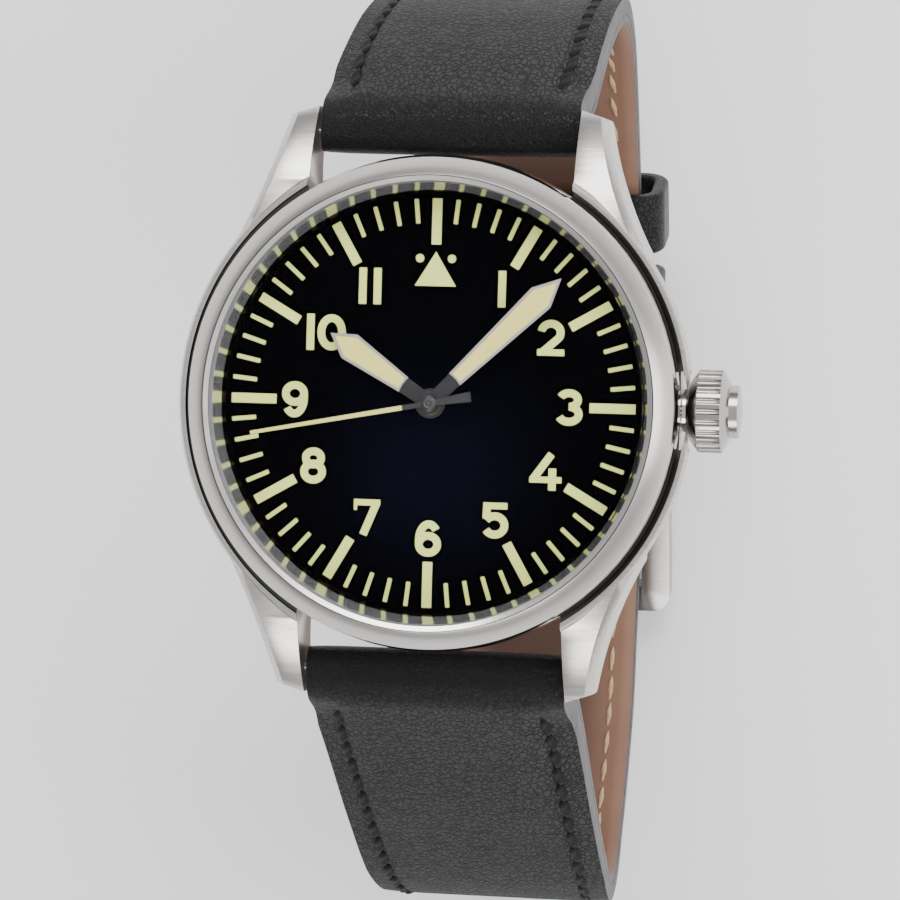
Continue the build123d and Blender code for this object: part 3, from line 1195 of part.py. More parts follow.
def bridge_screws():
    """The slotted screws that hold the bridges and the cock to the plate."""
    screws = []
    for x, y in SCREW_PLACES:
        screw = disc(SCREW_RADIUS, BRIDGE_LOW, BRIDGE_LOW + SCREW_HEAD, x, y)
        screw += disc(SCREW_SHANK, BRIDGE_LOW, BRIDGE_LOW + SCREW_LENGTH - ASSEMBLY_GAP, x, y)
        half = SCREW_SLOT / 2
        screw -= block((x - half, x + half), (y - SCREW_RADIUS, y + SCREW_RADIUS),
                       (BRIDGE_LOW - OVERRUN, BRIDGE_LOW + SCREW_SLOT))
        screws.append(screw)
    return Compound(children=[screw.solids()[0] for screw in screws])


def movement_ring():
    """The casing ring that centres the movement and stands on the case back."""
    outer = CASE_BORE - RING_SKIRT_GAP
    skirt_inner = BACK_SKIRT_RADIUS - RUNNING_GAP - BACK_SKIRT_WALL
    shoulder = BACK_FLANGE + BACK_SEAT_DEPTH + ASSEMBLY_GAP
    lip_top = PLATE_LOW
    bore = PLATE_RADIUS + RUNNING_GAP
    shape = turned([
        (bore, PLATE_TOP), (outer, PLATE_TOP), (outer, shoulder), (skirt_inner - RING_SKIRT_GAP, shoulder),
        (skirt_inner - RING_SKIRT_GAP, BACK_FLANGE), (bore, BACK_FLANGE), (bore, lip_top - RING_LIP),
        (bore - RING_LIP_WIDTH, lip_top - RING_LIP), (bore - RING_LIP_WIDTH, lip_top), (bore, lip_top)])
    return shape - rod_x(STEM_RADIUS + 2 * RUNNING_GAP, 0, CASE_RADIUS)


save("main_plate", main_plate())
save("barrel_bridge", barrel_bridge())
save("train_bridge", train_bridge())
save("balance_cock", balance_cock())
save("pallet_bridge", pallet_bridge())
save("jewels", jewels())
save("bridge_screws", bridge_screws())
save("movement_ring", movement_ring())

# Crown with its flutes, its gasket and the tube in the case wall


def crown():
    """The fluted crown with a bevel at each end and a plain domed cap."""
    grip_end = CROWN_BACK_BEVEL + CROWN_GRIP_LENGTH
    cone_end = grip_end + CROWN_FRONT_BEVEL
    cap_end = cone_end + CROWN_CAP_LENGTH - CROWN_CAP_DOME
    blank = turned([
        (CROWN_SOCKET_RADIUS, 0), (CROWN_BACK_RADIUS, 0), (CROWN_RADIUS, CROWN_BACK_BEVEL),
        (CROWN_RADIUS, grip_end), (CROWN_FRONT_RADIUS, cone_end), (CROWN_CAP_RADIUS, cone_end),
        (CROWN_CAP_RADIUS, cap_end), (0, cap_end), (0, CROWN_SOCKET_DEPTH),
        (CROWN_SOCKET_RADIUS, CROWN_SOCKET_DEPTH)])
    rise = CROWN_CAP_DOME
    dome_radius = (CROWN_CAP_RADIUS ** 2 + rise ** 2) / (2 * rise)
    ball = Pos(0, 0, cap_end + rise - dome_radius) * Sphere(dome_radius)
    blank += ball & disc(CROWN_CAP_RADIUS, cap_end, cap_end + 2 * rise)
    for index in range(CROWN_FLUTES):
        x, y = turn_about_z(CROWN_RADIUS, index * 360 / CROWN_FLUTES)
        blank -= disc(CROWN_FLUTE_RADIUS, CROWN_BACK_BEVEL, grip_end, x, y)
    stem_reach = STEM_END_X - CROWN_BACK_X
    blank -= disc(STEM_RADIUS, 0, stem_reach)
    return along_x(blank, CROWN_BACK_X)


def crown_gasket():
    """The seal inside the crown, round the tube's nose."""
    shape = ring(CROWN_SOCKET_RADIUS, TUBE_NOSE_RADIUS + RUNNING_GAP, 0, CROWN_GASKET_WIDTH)
    return along_x(shape, CROWN_BACK_X + CROWN_GASKET_SET)


def crown_tube():
    """The tube pressed into the case wall, with a collar and a nose for the seal."""
    collar_end = CROWN_SEAT_X + TUBE_COLLAR_LENGTH
    shape = rod_x(TUBE_RADIUS, TUBE_ROOT_X, CROWN_SEAT_X)
    shape += rod_x(TUBE_COLLAR_RADIUS, CROWN_SEAT_X, collar_end)
    shape += rod_x(TUBE_NOSE_RADIUS, collar_end, collar_end + TUBE_NOSE_LENGTH)
    return shape - rod_x(STEM_RADIUS + RUNNING_GAP, 0, CROWN_SEAT_X + OVERRUN)


save("crown", crown())
save("crown_gasket", crown_gasket())
save("crown_tube", crown_tube())

# Spring bars: a hollow tube between the lugs and a sprung pin at each end


def spring_bar_tube(side):
    """The tube of one spring bar, bored at both ends for its pins."""
    half = LUG_INNER - BAR_TUBE_END_GAP
    shape = rod_x(BAR_TUBE_RADIUS, -half, half, side * BAR_Y, BAR_Z)
    for end in (-1, 1):
        inner, outer = sorted((end * (half - BAR_PIN_BORE_DEPTH), end * (half + OVERRUN)))
        shape -= rod_x(BAR_PIN_RADIUS + RUNNING_GAP, inner, outer, side * BAR_Y, BAR_Z)
    return shape


def bar_pin(side, end):
    """One sprung pin, from inside the tube to the bottom of its hole in the lug."""
    tip = LUG_INNER + BAR_PIN_REACH
    left, right = sorted((end * (tip - BAR_PIN_LENGTH), end * tip))
    return rod_x(BAR_PIN_RADIUS, left, right, side * BAR_Y, BAR_Z)


save("spring_bar_tubes", Compound(children=[spring_bar_tube(side).solids()[0] for side in (1, -1)]))
save("bar_pin_upper_left", bar_pin(1, -1))
save("bar_pin_upper_right", bar_pin(1, 1))
save("bar_pin_lower_left", bar_pin(-1, -1))
save("bar_pin_lower_right", bar_pin(-1, 1))

# Strap. Each half has a leather body over a lining. Its side profile leaves
# the spring bar, rounds the wrist and joins a shared arc at the back.

STRAP_HEADING = 57.0
UPPER_SHARES = ((0.683, 0.075), (0.828, -0.12), (0.95, -0.36), (1.0, -0.6), (0.925, -0.825), (0.74, -1.0))
LOWER_SHARES = ((0.538, 0.06), (0.662, -0.112), (0.82, -0.322), (0.96, -0.536), (1.0, -0.7),
                (0.925, -0.86), (0.68, -0.992))
THINNING_SHARE = 0.6
OFFSET_STEPS = 9
LAYERS = LEATHER_BACK + LINING
UPPER_ARC_RADIUS = BACK_ARC_RADIUS - LAYERS - LAYER_GAP
OUTWARD = (sin(radians(STRAP_HEADING)), cos(radians(STRAP_HEADING)))
HEADING = (OUTWARD[1], -OUTWARD[0])


def arc_height(radius, y):
    """The height of the back arc of a given radius at one Y."""
    return BACK_ARC_Z - sqrt(radius ** 2 - (y - BACK_ARC_Y) ** 2)


def back_arc(radius, start_y, end_y, side):
    """A stretch of the back arc, seen with Y pointing away on the half's own side."""
    places = (start_y, (start_y + end_y) / 2, end_y)
    return ThreePointArc(*[(side * y, arc_height(radius, y)) for y in places])


def leather_depth(share):
    """The leather's thickness, padded at the lugs and thin past the wrist's side."""
    eased = min(1, share / THINNING_SHARE)
    return LEATHER_BACK + (PADDED_LEATHER - LEATHER_BACK) * (1 + cos(pi * eased)) / 2


def inner_line(outer, extra, end_tangent):
    """A line inside the strap's outer curve: the leather's depth and some extra away."""
    depth = ROLL_RADIUS - LINING + extra
    points = [(BAR_Y - depth * OUTWARD[0], BAR_Z - depth * OUTWARD[1])]
    for step in range(1, OFFSET_STEPS + 1):
        share = step / OFFSET_STEPS
        place, along = outer @ share, outer % share
        inset = leather_depth(share) + extra
        points.append((place.X + along.Y * inset, place.Y - along.X * inset))
    return Spline(*points, tangents=(HEADING, end_tangent))


def strap_faces(points, radius, arc_start, arc_end, side):
    """The side outlines of one half's leather and lining."""
    arc = back_arc(radius, arc_start, arc_end, side)
    outer = Spline(*points, arc @ 0, tangents=(HEADING, arc % 0))
    pad = Spline((BAR_Y, BAR_Z + ROLL_RADIUS), outer @ 0, tangents=((1, 0), outer % 0))
    seam = inner_line(outer, 0, arc % 0)
    under = inner_line(outer, LINING, arc % 0)
    seam_arc = back_arc(radius - LEATHER_BACK, side * (seam @ 1).X, arc_end, side)
    under_arc = back_arc(radius - LAYERS, side * (under @ 1).X, arc_end, side)
    leather = [pad, outer, arc, Line(arc @ 1, seam_arc @ 1), seam_arc, seam, Line(seam @ 0, pad @ 0)]
    lining = [seam, seam_arc, Line(seam_arc @ 1, under_arc @ 1), under_arc, under, Line(under @ 0, seam @ 0)]
    return make_face(Curve() + leather), make_face(Curve() + lining)


def width_prism():
    """The strap's width: it swells below the lugs and tapers to the back."""
    edge = [(STRAP_FRONT_HALF, OVERRUN), (STRAP_FRONT_HALF, STRAP_FRONT_Z), (STRAP_WIDE_HALF, STRAP_WIDE_Z),
            (STRAP_SIDE_HALF, STRAP_SIDE_Z), (STRAP_BACK_HALF, STRAP_BACK_Z),
            (STRAP_BACK_HALF, 2 * STRAP_BACK_Z)]
    outline = [(half, 0, z) for half, z in edge] + [(-half, 0, z) for half, z in reversed(edge)]
    return extrude(make_face(Polyline(*outline, close=True)), LOWER_POINTS_LENGTH + OVERRUN, both=True)


def strap_layers(shares, length, depth, radius, arc_start, arc_end, side):
    """The leather and lining of one half, with the roll round the spring bar."""
    points = [(y * length, z * depth) for y, z in shares]
    bodies = []
    for face in strap_faces(points, radius, arc_start, arc_end, side):
        body = extrude(Plane.YZ * face, STRAP_WIDE_HALF, both=True) & width_prism()
        bodies.append(body if side > 0 else mirror(body, Plane.XZ))
    roll = rod_x(ROLL_RADIUS, -STRAP_FRONT_HALF, STRAP_FRONT_HALF, side * BAR_Y, BAR_Z)
    bore = rod_x(BAR_TUBE_RADIUS + ROLL_BORE_GAP, -LUG_GAP, LUG_GAP, side * BAR_Y, BAR_Z)
    return bodies[0] + roll - bore, bodies[1] - roll


BUCKLE_BAR_Z = arc_height(UPPER_ARC_RADIUS - LAYERS / 2, BUCKLE_BAR_Y)


def strap_upper():
    """The short half, rolled round the buckle bar and slotted for the tongue."""
    leather, lining = strap_layers(UPPER_SHARES, UPPER_POINTS_LENGTH, UPPER_POINTS_DEPTH, UPPER_ARC_RADIUS,
                                   BACK_ARC_UPPER_Y, BUCKLE_BAR_Y, 1)
    half = STRAP_BACK_HALF
    roll = rod_x(LAYERS / 2, -half, half, BUCKLE_BAR_Y, BUCKLE_BAR_Z)
    bore = rod_x(BUCKLE_BAR_RADIUS + ROLL_BORE_GAP, -LUG_GAP, LUG_GAP, BUCKLE_BAR_Y, BUCKLE_BAR_Z)
    slot = block((-TONGUE_SLOT_HALF, TONGUE_SLOT_HALF),
                 (BUCKLE_BAR_Y - LAYERS, BUCKLE_BAR_Y + LAYERS * 3 / 4),
                 (BUCKLE_BAR_Z - OVERRUN, BUCKLE_BAR_Z + OVERRUN))
    return leather + roll - bore - slot, lining - roll - slot


def through_tail(y):
    """One punched hole, square to the tail at a given Y."""
    tilt = degrees(asin((y - BACK_ARC_Y) / BACK_ARC_RADIUS))
    punch = Cylinder(TAIL_HOLE_RADIUS, 2 * OVERRUN)
    return Pos(0, y, arc_height(BACK_ARC_RADIUS, y)) * Rot(tilt, 0, 0) * punch


def strap_lower():
    """The long half: its tail is punched, slotted for the tongue and rounded at the tip."""
    layers = strap_layers(LOWER_SHARES, LOWER_POINTS_LENGTH, LOWER_POINTS_DEPTH, BACK_ARC_RADIUS,
                          BACK_ARC_LOWER_Y, TAIL_TIP_Y, -1)
    slot_middle = sum(TONGUE_SLOT_Y) / 2
    low = arc_height(BACK_ARC_RADIUS, slot_middle) - OVERRUN
    top = low + 2 * OVERRUN
    cuts = [block((-TONGUE_SLOT_HALF, TONGUE_SLOT_HALF), TONGUE_SLOT_Y, (low, top))]
    for hole in (2, 1, -1, -2):
        cuts.append(through_tail(slot_middle + hole * TAIL_HOLE_PITCH))
    tip_centre = TAIL_TIP_Y - STRAP_BACK_HALF
    tip = block((-LUG_GAP, LUG_GAP), (tip_centre, TAIL_TIP_Y + OVERRUN), (low, low + BACK_ARC_Z))
    cuts.append(tip - disc(STRAP_BACK_HALF, low - OVERRUN, low + BACK_ARC_Z + OVERRUN, 0, tip_centre))
    finished = []
    for layer in layers:
        for cut in cuts:
            layer -= cut
        finished.append(layer)
    return finished


upper_leather, upper_lining = strap_upper()
lower_leather, lower_lining = strap_lower()
save("strap_upper_leather", upper_leather)
save("strap_upper_lining", upper_lining)
save("strap_lower_leather", lower_leather)
save("strap_lower_lining", lower_lining)

# Buckle, drawn flat with its bar on X and turned down to its slope


def on_slope(shape):
    """Place a shape that was drawn with +X out, the tip towards -Y and the wrist above."""
    return Pos(0, BUCKLE_BAR_Y, BUCKLE_BAR_Z) * Rot(BUCKLE_SLOPE, 0, 0) * shape


def buckle_frame():
    """The U-shaped frame, bored for its bar."""
    inner_half = BUCKLE_HALF - BUCKLE_SIDE
    eye = BUCKLE_THICKNESS / 2
    outer = Pos(0, (eye - BUCKLE_LENGTH) / 2) * RectangleRounded(2 * BUCKLE_HALF, BUCKLE_LENGTH + eye,
                                                                BUCKLE_CORNER)
    inner_length = BUCKLE_LENGTH - BUCKLE_FRONT_BAR
    inner = Pos(0, (OVERRUN - inner_length) / 2) * Rectangle(2 * inner_half, inner_length + OVERRUN)
    frame = Pos(0, 0, -BUCKLE_THICKNESS / 2) * extrude(outer - inner, BUCKLE_THICKNESS)
    frame -= rod_x(BUCKLE_BAR_RADIUS + RUNNING_GAP, -BUCKLE_BAR_HALF - RUNNING_GAP,
                   BUCKLE_BAR_HALF + RUNNING_GAP, 0, 0)
    return on_slope(frame)


def buckle_tongue():
    """The tongue: a ring on the bar, a steep root through the tail and a flat end on the frame."""
    ring_outer = BUCKLE_BAR_RADIUS + RUNNING_GAP + TONGUE_RING_WALL
    half = TONGUE_THICKNESS / 2
    slope = radians(BUCKLE_SLOPE)
    rest = BUCKLE_THICKNESS / 2 + half + TONGUE_REST_GAP
    reach = BUCKLE_LENGTH - BUCKLE_FRONT_BAR / 2
    over_bar = (BUCKLE_BAR_Y - reach * cos(slope) + rest * sin(slope),
                BUCKLE_BAR_Z - reach * sin(slope) - rest * cos(slope))
    knee = (TONGUE_KNEE_Y, TONGUE_KNEE_Z)
    run = (over_bar[0] - knee[0], over_bar[1] - knee[1])
    longer = 1 + (BUCKLE_FRONT_BAR / 2 + TONGUE_OVERHANG) / hypot(*run)
    tip = (knee[0] + longer * run[0], knee[1] + longer * run[1])
    shape = rod_x(ring_outer, -TONGUE_HALF, TONGUE_HALF, BUCKLE_BAR_Y, BUCKLE_BAR_Z)
    for start, end in (((BUCKLE_BAR_Y, BUCKLE_BAR_Z), knee), (knee, tip)):
        length = hypot(end[0] - start[0], end[1] - start[1])
        turn = degrees(atan2(end[1] - start[1], end[0] - start[0]))
        stretch = Pos(length / 2, 0) * SlotCenterToCenter(length, TONGUE_THICKNESS)
        side_face = Plane.YZ * (Pos(*start) * Rot(0, 0, turn) * stretch)
        shape += extrude(side_face, TONGUE_HALF, both=True)
    return shape - rod_x(BUCKLE_BAR_RADIUS + RUNNING_GAP, -LUG_GAP, LUG_GAP, BUCKLE_BAR_Y, BUCKLE_BAR_Z)


save("buckle_bar", rod_x(BUCKLE_BAR_RADIUS, -BUCKLE_BAR_HALF, BUCKLE_BAR_HALF, BUCKLE_BAR_Y, BUCKLE_BAR_Z))
save("buckle_frame", buckle_frame())
save("buckle_tongue", buckle_tongue())

# Keepers: leather loops round both halves at the back


def keeper(y, inner_half):
    """One loop with rounded corners, square to the back arc at a given Y."""
    stack = 2 * LAYERS + LAYER_GAP
    middle = BACK_ARC_RADIUS - stack / 2
    tilt = degrees(asin((y - BACK_ARC_Y) / middle))
    inner_height = stack + 2 * KEEPER_GAP
    outer = RectangleRounded(2 * (inner_half + KEEPER_WALL), inner_height + 2 * KEEPER_WALL,
                             KEEPER_CORNER + KEEPER_WALL)
    inner = RectangleRounded(2 * inner_half, inner_height, KEEPER_CORNER)
    loop = extrude(Plane.XZ * (outer - inner), KEEPER_WIDTH / 2, both=True)
    return Pos(0, y, arc_height(middle, y)) * Rot(tilt, 0, 0) * loop


save("fixed_keeper", keeper(FIXED_KEEPER_Y, FIXED_KEEPER_HALF))
save("free_keeper", keeper(FREE_KEEPER_Y, FREE_KEEPER_HALF))
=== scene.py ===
import json
from math import atan2, cos, pi, radians, sin, sqrt

import bmesh
import bpy
from bpy.props import FloatProperty, FloatVectorProperty, PointerProperty
from mathutils import Matrix, Vector
from mathutils.geometry import interpolate_bezier


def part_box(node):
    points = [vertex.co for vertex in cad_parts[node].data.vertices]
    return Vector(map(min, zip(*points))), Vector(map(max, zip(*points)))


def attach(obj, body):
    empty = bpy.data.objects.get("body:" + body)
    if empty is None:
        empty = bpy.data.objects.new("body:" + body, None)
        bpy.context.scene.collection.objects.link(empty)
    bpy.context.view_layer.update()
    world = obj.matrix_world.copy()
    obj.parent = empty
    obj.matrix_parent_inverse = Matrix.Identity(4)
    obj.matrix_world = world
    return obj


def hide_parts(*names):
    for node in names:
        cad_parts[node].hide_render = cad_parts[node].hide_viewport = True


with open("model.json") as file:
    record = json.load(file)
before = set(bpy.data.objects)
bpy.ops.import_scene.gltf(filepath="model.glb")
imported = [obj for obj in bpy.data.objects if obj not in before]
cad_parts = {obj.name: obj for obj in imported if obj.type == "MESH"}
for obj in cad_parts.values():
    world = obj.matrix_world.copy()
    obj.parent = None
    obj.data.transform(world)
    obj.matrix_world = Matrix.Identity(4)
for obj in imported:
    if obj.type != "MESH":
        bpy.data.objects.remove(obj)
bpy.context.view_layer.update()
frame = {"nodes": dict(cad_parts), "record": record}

bl_info = {
    "name": "Pilot watch",
    "version": (1, 0, 0),
    "blender": (4, 5, 0),
    "location": "View3D > Sidebar > Watch",
    "description": "Dresses the frame of a pilot watch on a leather strap",
    "category": "Object",
}

MM = 0.001

# Where the dial and the hands stand, read from the frame in millimetres
DIAL_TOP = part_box("dial")[1].z / MM
HOUR_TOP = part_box("hour_hand")[1].z / MM
MINUTE_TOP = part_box("minute_hand")[1].z / MM
SECOND_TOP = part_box("second_hand")[1].z / MM

# The strap's side profile on each half's own side, in millimetres: Y away from
# the hands, Z up
BAR = Vector((20.3, 1.75))
ROLL_RADIUS = 1.62
UPPER_PROFILE = ((22.6, 3.0), (27.4, -4.8), (31.4, -14.4), (33.1, -24.0), (30.6, -33.0), (24.5, -40.0))
LOWER_PROFILE = ((22.6, 3.0), (27.8, -5.6), (34.4, -16.2), (40.3, -27.0), (42.0, -35.2), (38.9, -43.3),
                 (28.6, -49.9))

# The strap's back, at places of the frame in millimetres: the arc's centre, ends
# and radii, the buckle's bar, the tongue's slot and the holes counted from it
BACK_ARC_Y = -9.0
BACK_ARC_Z = 22.6
UPPER_START = 19.3
LOWER_START = -21.0
UPPER_ARC = 72.74
LOWER_ARC = 75.0
TAIL_TIP = 24.5
BUCKLE_BAR = Vector((-2.0, -48.697))
TONGUE_SLOT = (-5.5, -1.5)
HOLE_PITCH = 6.0
HOLE_RADIUS = 1.0
TAIL_HOLES = (2, 1, -1, -2)
BAR_SLOT = (Vector((-1.0, -4.2, -53.7)), Vector((1.0, -0.35, -43.7)))
TAIL_SLOT_HALF = 1.0
TAIL_SLOT_Z = (-57.0, -47.0)

# Heights along the strap with what they add to half its front width, and the
# height where it is down to its back width
SWELL = ((0.2, 0.0), (-3.0, 0.25), (-25.0, 0.1))
BACK_HEIGHT = -44.5

# Where the finishes change, and where painted shade and highlights start, in millimetres: radii from the hands'
# axis, and heights
BEZEL_WALL = 18.22
GROOVE_RADIUS = 18.87
GROOVE_FLOOR = DIAL_TOP - 0.83
FLANGE_FOOT = DIAL_TOP + 0.85
FLANGE_TOP = DIAL_TOP + 1.97

# How far the hands are turned from 12 o'clock, in degrees
HOUR_TURN = 303.3
MINUTE_TURN = 45.4
SECOND_TURN = 259.2

# The fill of a hand's window: root, half width there, shoulder, half width there, tip
HOUR_FILL = (2.6, 0.47, 7.35, 0.86, 8.75)
MINUTE_FILL = (2.78, 0.42, 11.38, 0.82, 13.1)
FILL_SUNK = 0.12
FILL_DEPTH = 0.13
NEEDLE_START = 2.0
HAND_BLACK = (0.012, 0.012, 0.013)


class WatchSizes(bpy.types.PropertyGroup):
    """Sizes of the strap and the dial, in metres."""

    pad_depth: FloatProperty(name="Pad depth", description="Leather at the lugs, with its padding",
                             default=3.4 * MM, unit="LENGTH")
    back_depth: FloatProperty(name="Back depth", description="Leather at the back of the wrist",
                              default=1.4 * MM, unit="LENGTH")
    lining_depth: FloatProperty(name="Lining", description="Thickness of the lining",
                                default=0.8 * MM, unit="LENGTH")
    front_half: FloatProperty(name="Front half width", description="Half the strap's width at the lugs",
                              default=9.85 * MM, unit="LENGTH")
    back_half: FloatProperty(name="Back half width", description="Half the strap's width at the back",
                             default=9.0 * MM, unit="LENGTH")
    stitch_inset: FloatProperty(name="Stitch inset", description="From the strap's edge to the seam",
                                default=1.9 * MM, unit="LENGTH")
    stitch_pitch: FloatProperty(name="Stitch pitch", description="From one stitch to the next",
                                default=2.7 * MM, unit="LENGTH")
    numeral_height: FloatProperty(name="Numeral height", description="Height of the dial's numbers",
                                  default=2.7 * MM, unit="LENGTH")
    numeral_stroke: FloatProperty(name="Numeral stroke", description="Width of the numbers' strokes",
                                  default=0.57 * MM, unit="LENGTH")


class WatchColours(bpy.types.PropertyGroup):
    """Colours of the finishes."""

    steel: FloatVectorProperty(name="Steel", description="Satin steel of case and bezel", subtype="COLOR",
                               size=3, default=(0.60, 0.575, 0.555), min=0, max=1)
    lume: FloatVectorProperty(name="Lume", description="Luminous marks of the dial", subtype="COLOR",
                              size=3, default=(0.50, 0.535, 0.15), min=0, max=1)
    hand_lume: FloatVectorProperty(name="Hand lume", description="Luminous fill of the hands",
                                   subtype="COLOR", size=3, default=(0.52, 0.465, 0.14), min=0, max=1)
    leather: FloatVectorProperty(name="Leather", description="The strap's charcoal leather",
                                 subtype="COLOR", size=3, default=(0.0255, 0.023, 0.025), min=0, max=1)
    lining: FloatVectorProperty(name="Lining", description="The strap's tan lining", subtype="COLOR",
                                size=3, default=(0.235, 0.126, 0.085), min=0, max=1)
    thread: FloatVectorProperty(name="Thread", description="Dark stitches on the strap", subtype="COLOR",
                                size=3, default=(0.006, 0.0055, 0.006), min=0, max=1)


# Shader groups that several finishes share


def put(tree, socket, value):
    """Set a socket, or lead another node's output to it."""
    if isinstance(value, bpy.types.NodeSocket):
        tree.links.new(value, socket)
    elif value is not None:
        socket.default_value = value


def add(tree, kind, *inputs, **values):
    """A node with its settings: sockets in their order, sockets or settings by name."""
    node = tree.nodes.new(kind)
    for key, value in values.items():
        label = key.replace("_", " ")
        if label in node.inputs:
            put(tree, node.inputs[label], value)
        else:
            setattr(node, key, value)
    for index, value in enumerate(inputs):
        put(tree, node.inputs[index], value)
    return node


def math_node(tree, operation, *values):
    """The result of a Math node on values or outputs."""
    return add(tree, "ShaderNodeMath", *values, operation=operation).outputs[0]


def ramp(tree, value, start, end, first=0.0, last=1.0):
    """A smooth change from the first value to the last, between start and end."""
    node = add(tree, "ShaderNodeMapRange", interpolation_type="SMOOTHSTEP", Value=value, From_Min=start,
               From_Max=end, To_Min=first, To_Max=last)
    return node.outputs["Result"]


def group_with(name, inputs, outputs):
    """A new node group, the values that it is given and the sockets that it gives out."""
    group = bpy.data.node_groups.new(name, "ShaderNodeTree")
    for label, kind, default in inputs:
        socket = group.interface.new_socket(name=label, in_out="INPUT", socket_type=kind)
        if default is not None:
            socket.default_value = default
    for label, kind in outputs:
        group.interface.new_socket(name=label, in_out="OUTPUT", socket_type=kind)
    return group, group.nodes.new("NodeGroupInput").outputs, group.nodes.new("NodeGroupOutput").inputs


def brushed_group():
    """Fine parallel lines, long in one direction, as a tone change and as a normal."""
    group, given, out = group_with(
        "Brushed lines",
        [("Vector", "NodeSocketVector", None), ("Stretch", "NodeSocketVector", (1.0, 1.0, 1.0)),
         ("Strength", "NodeSocketFloat", 0.3), ("Distance", "NodeSocketFloat", 0.00001)],
        [("Lines", "NodeSocketFloat"), ("Normal", "NodeSocketVector")])
    stretched = add(group, "ShaderNodeVectorMath", given["Vector"], given["Stretch"], operation="MULTIPLY")
    lines = add(group, "ShaderNodeTexNoise", Vector=stretched.outputs[0], Scale=1.0, Detail=3.0,
                Roughness=0.65).outputs["Fac"]
    bump = add(group, "ShaderNodeBump", Strength=given["Strength"], Distance=given["Distance"], Height=lines)
    put(group, out["Lines"], lines)
    put(group, out["Normal"], bump.outputs["Normal"])
    return group


def smudge_group():
    """Soft cloudy changes for roughness and tone, as handling leaves them."""
    group, given, out = group_with(
        "Smudges", [("Vector", "NodeSocketVector", None), ("Scale", "NodeSocketFloat", 200.0),
                    ("Low", "NodeSocketFloat", 0.2), ("High", "NodeSocketFloat", 0.3)],
        [("Value", "NodeSocketFloat")])
    noise = add(group, "ShaderNodeTexNoise", Vector=given["Vector"], Scale=given["Scale"], Detail=4.0,
                Roughness=0.6)
    spread = add(group, "ShaderNodeMapRange", Value=noise.outputs["Fac"], To_Min=given["Low"],
                 To_Max=given["High"])
    put(group, out["Value"], spread.outputs["Result"])
    return group


def grain_group():
    """Leather's pebbled grain: small cells with creases between them."""
    group, given, out = group_with(
        "Leather grain", [("Vector", "NodeSocketVector", None), ("Scale", "NodeSocketFloat", 1400.0),
                          ("Wrinkle", "NodeSocketFloat", 0.4)],
        [("Height", "NodeSocketFloat"), ("Crease", "NodeSocketFloat")])
    warp = add(group, "ShaderNodeTexNoise", Vector=given["Vector"], Scale=given["Scale"], Detail=2.0)
    shift = add(group, "ShaderNodeVectorMath", warp.outputs["Color"], operation="SCALE", Scale=0.0005)
    moved = add(group, "ShaderNodeVectorMath", given["Vector"], shift.outputs[0], operation="ADD")
    cells = add(group, "ShaderNodeTexVoronoi", feature="DISTANCE_TO_EDGE", Vector=moved.outputs[0],
                Scale=given["Scale"])
    crease = add(group, "ShaderNodeMapRange", Value=cells.outputs["Distance"], From_Max=0.2).outputs["Result"]
    folds = add(group, "ShaderNodeTexNoise", Vector=given["Vector"], Detail=6.0, Roughness=0.7,
                Scale=math_node(group, "MULTIPLY", given["Scale"], 0.5))
    folded = math_node(group, "MULTIPLY", folds.outputs["Fac"], given["Wrinkle"])
    put(group, out["Height"], math_node(group, "ADD", crease, folded))
    put(group, out["Crease"], crease)
    return group


MAKERS = {"brushed": brushed_group, "smudge": smudge_group, "grain": grain_group}
GROUPS = {}


def shared_group(name):
    """One of the shared node groups, built on first use."""
    if name not in GROUPS:
        GROUPS[name] = MAKERS[name]()
    return GROUPS[name]


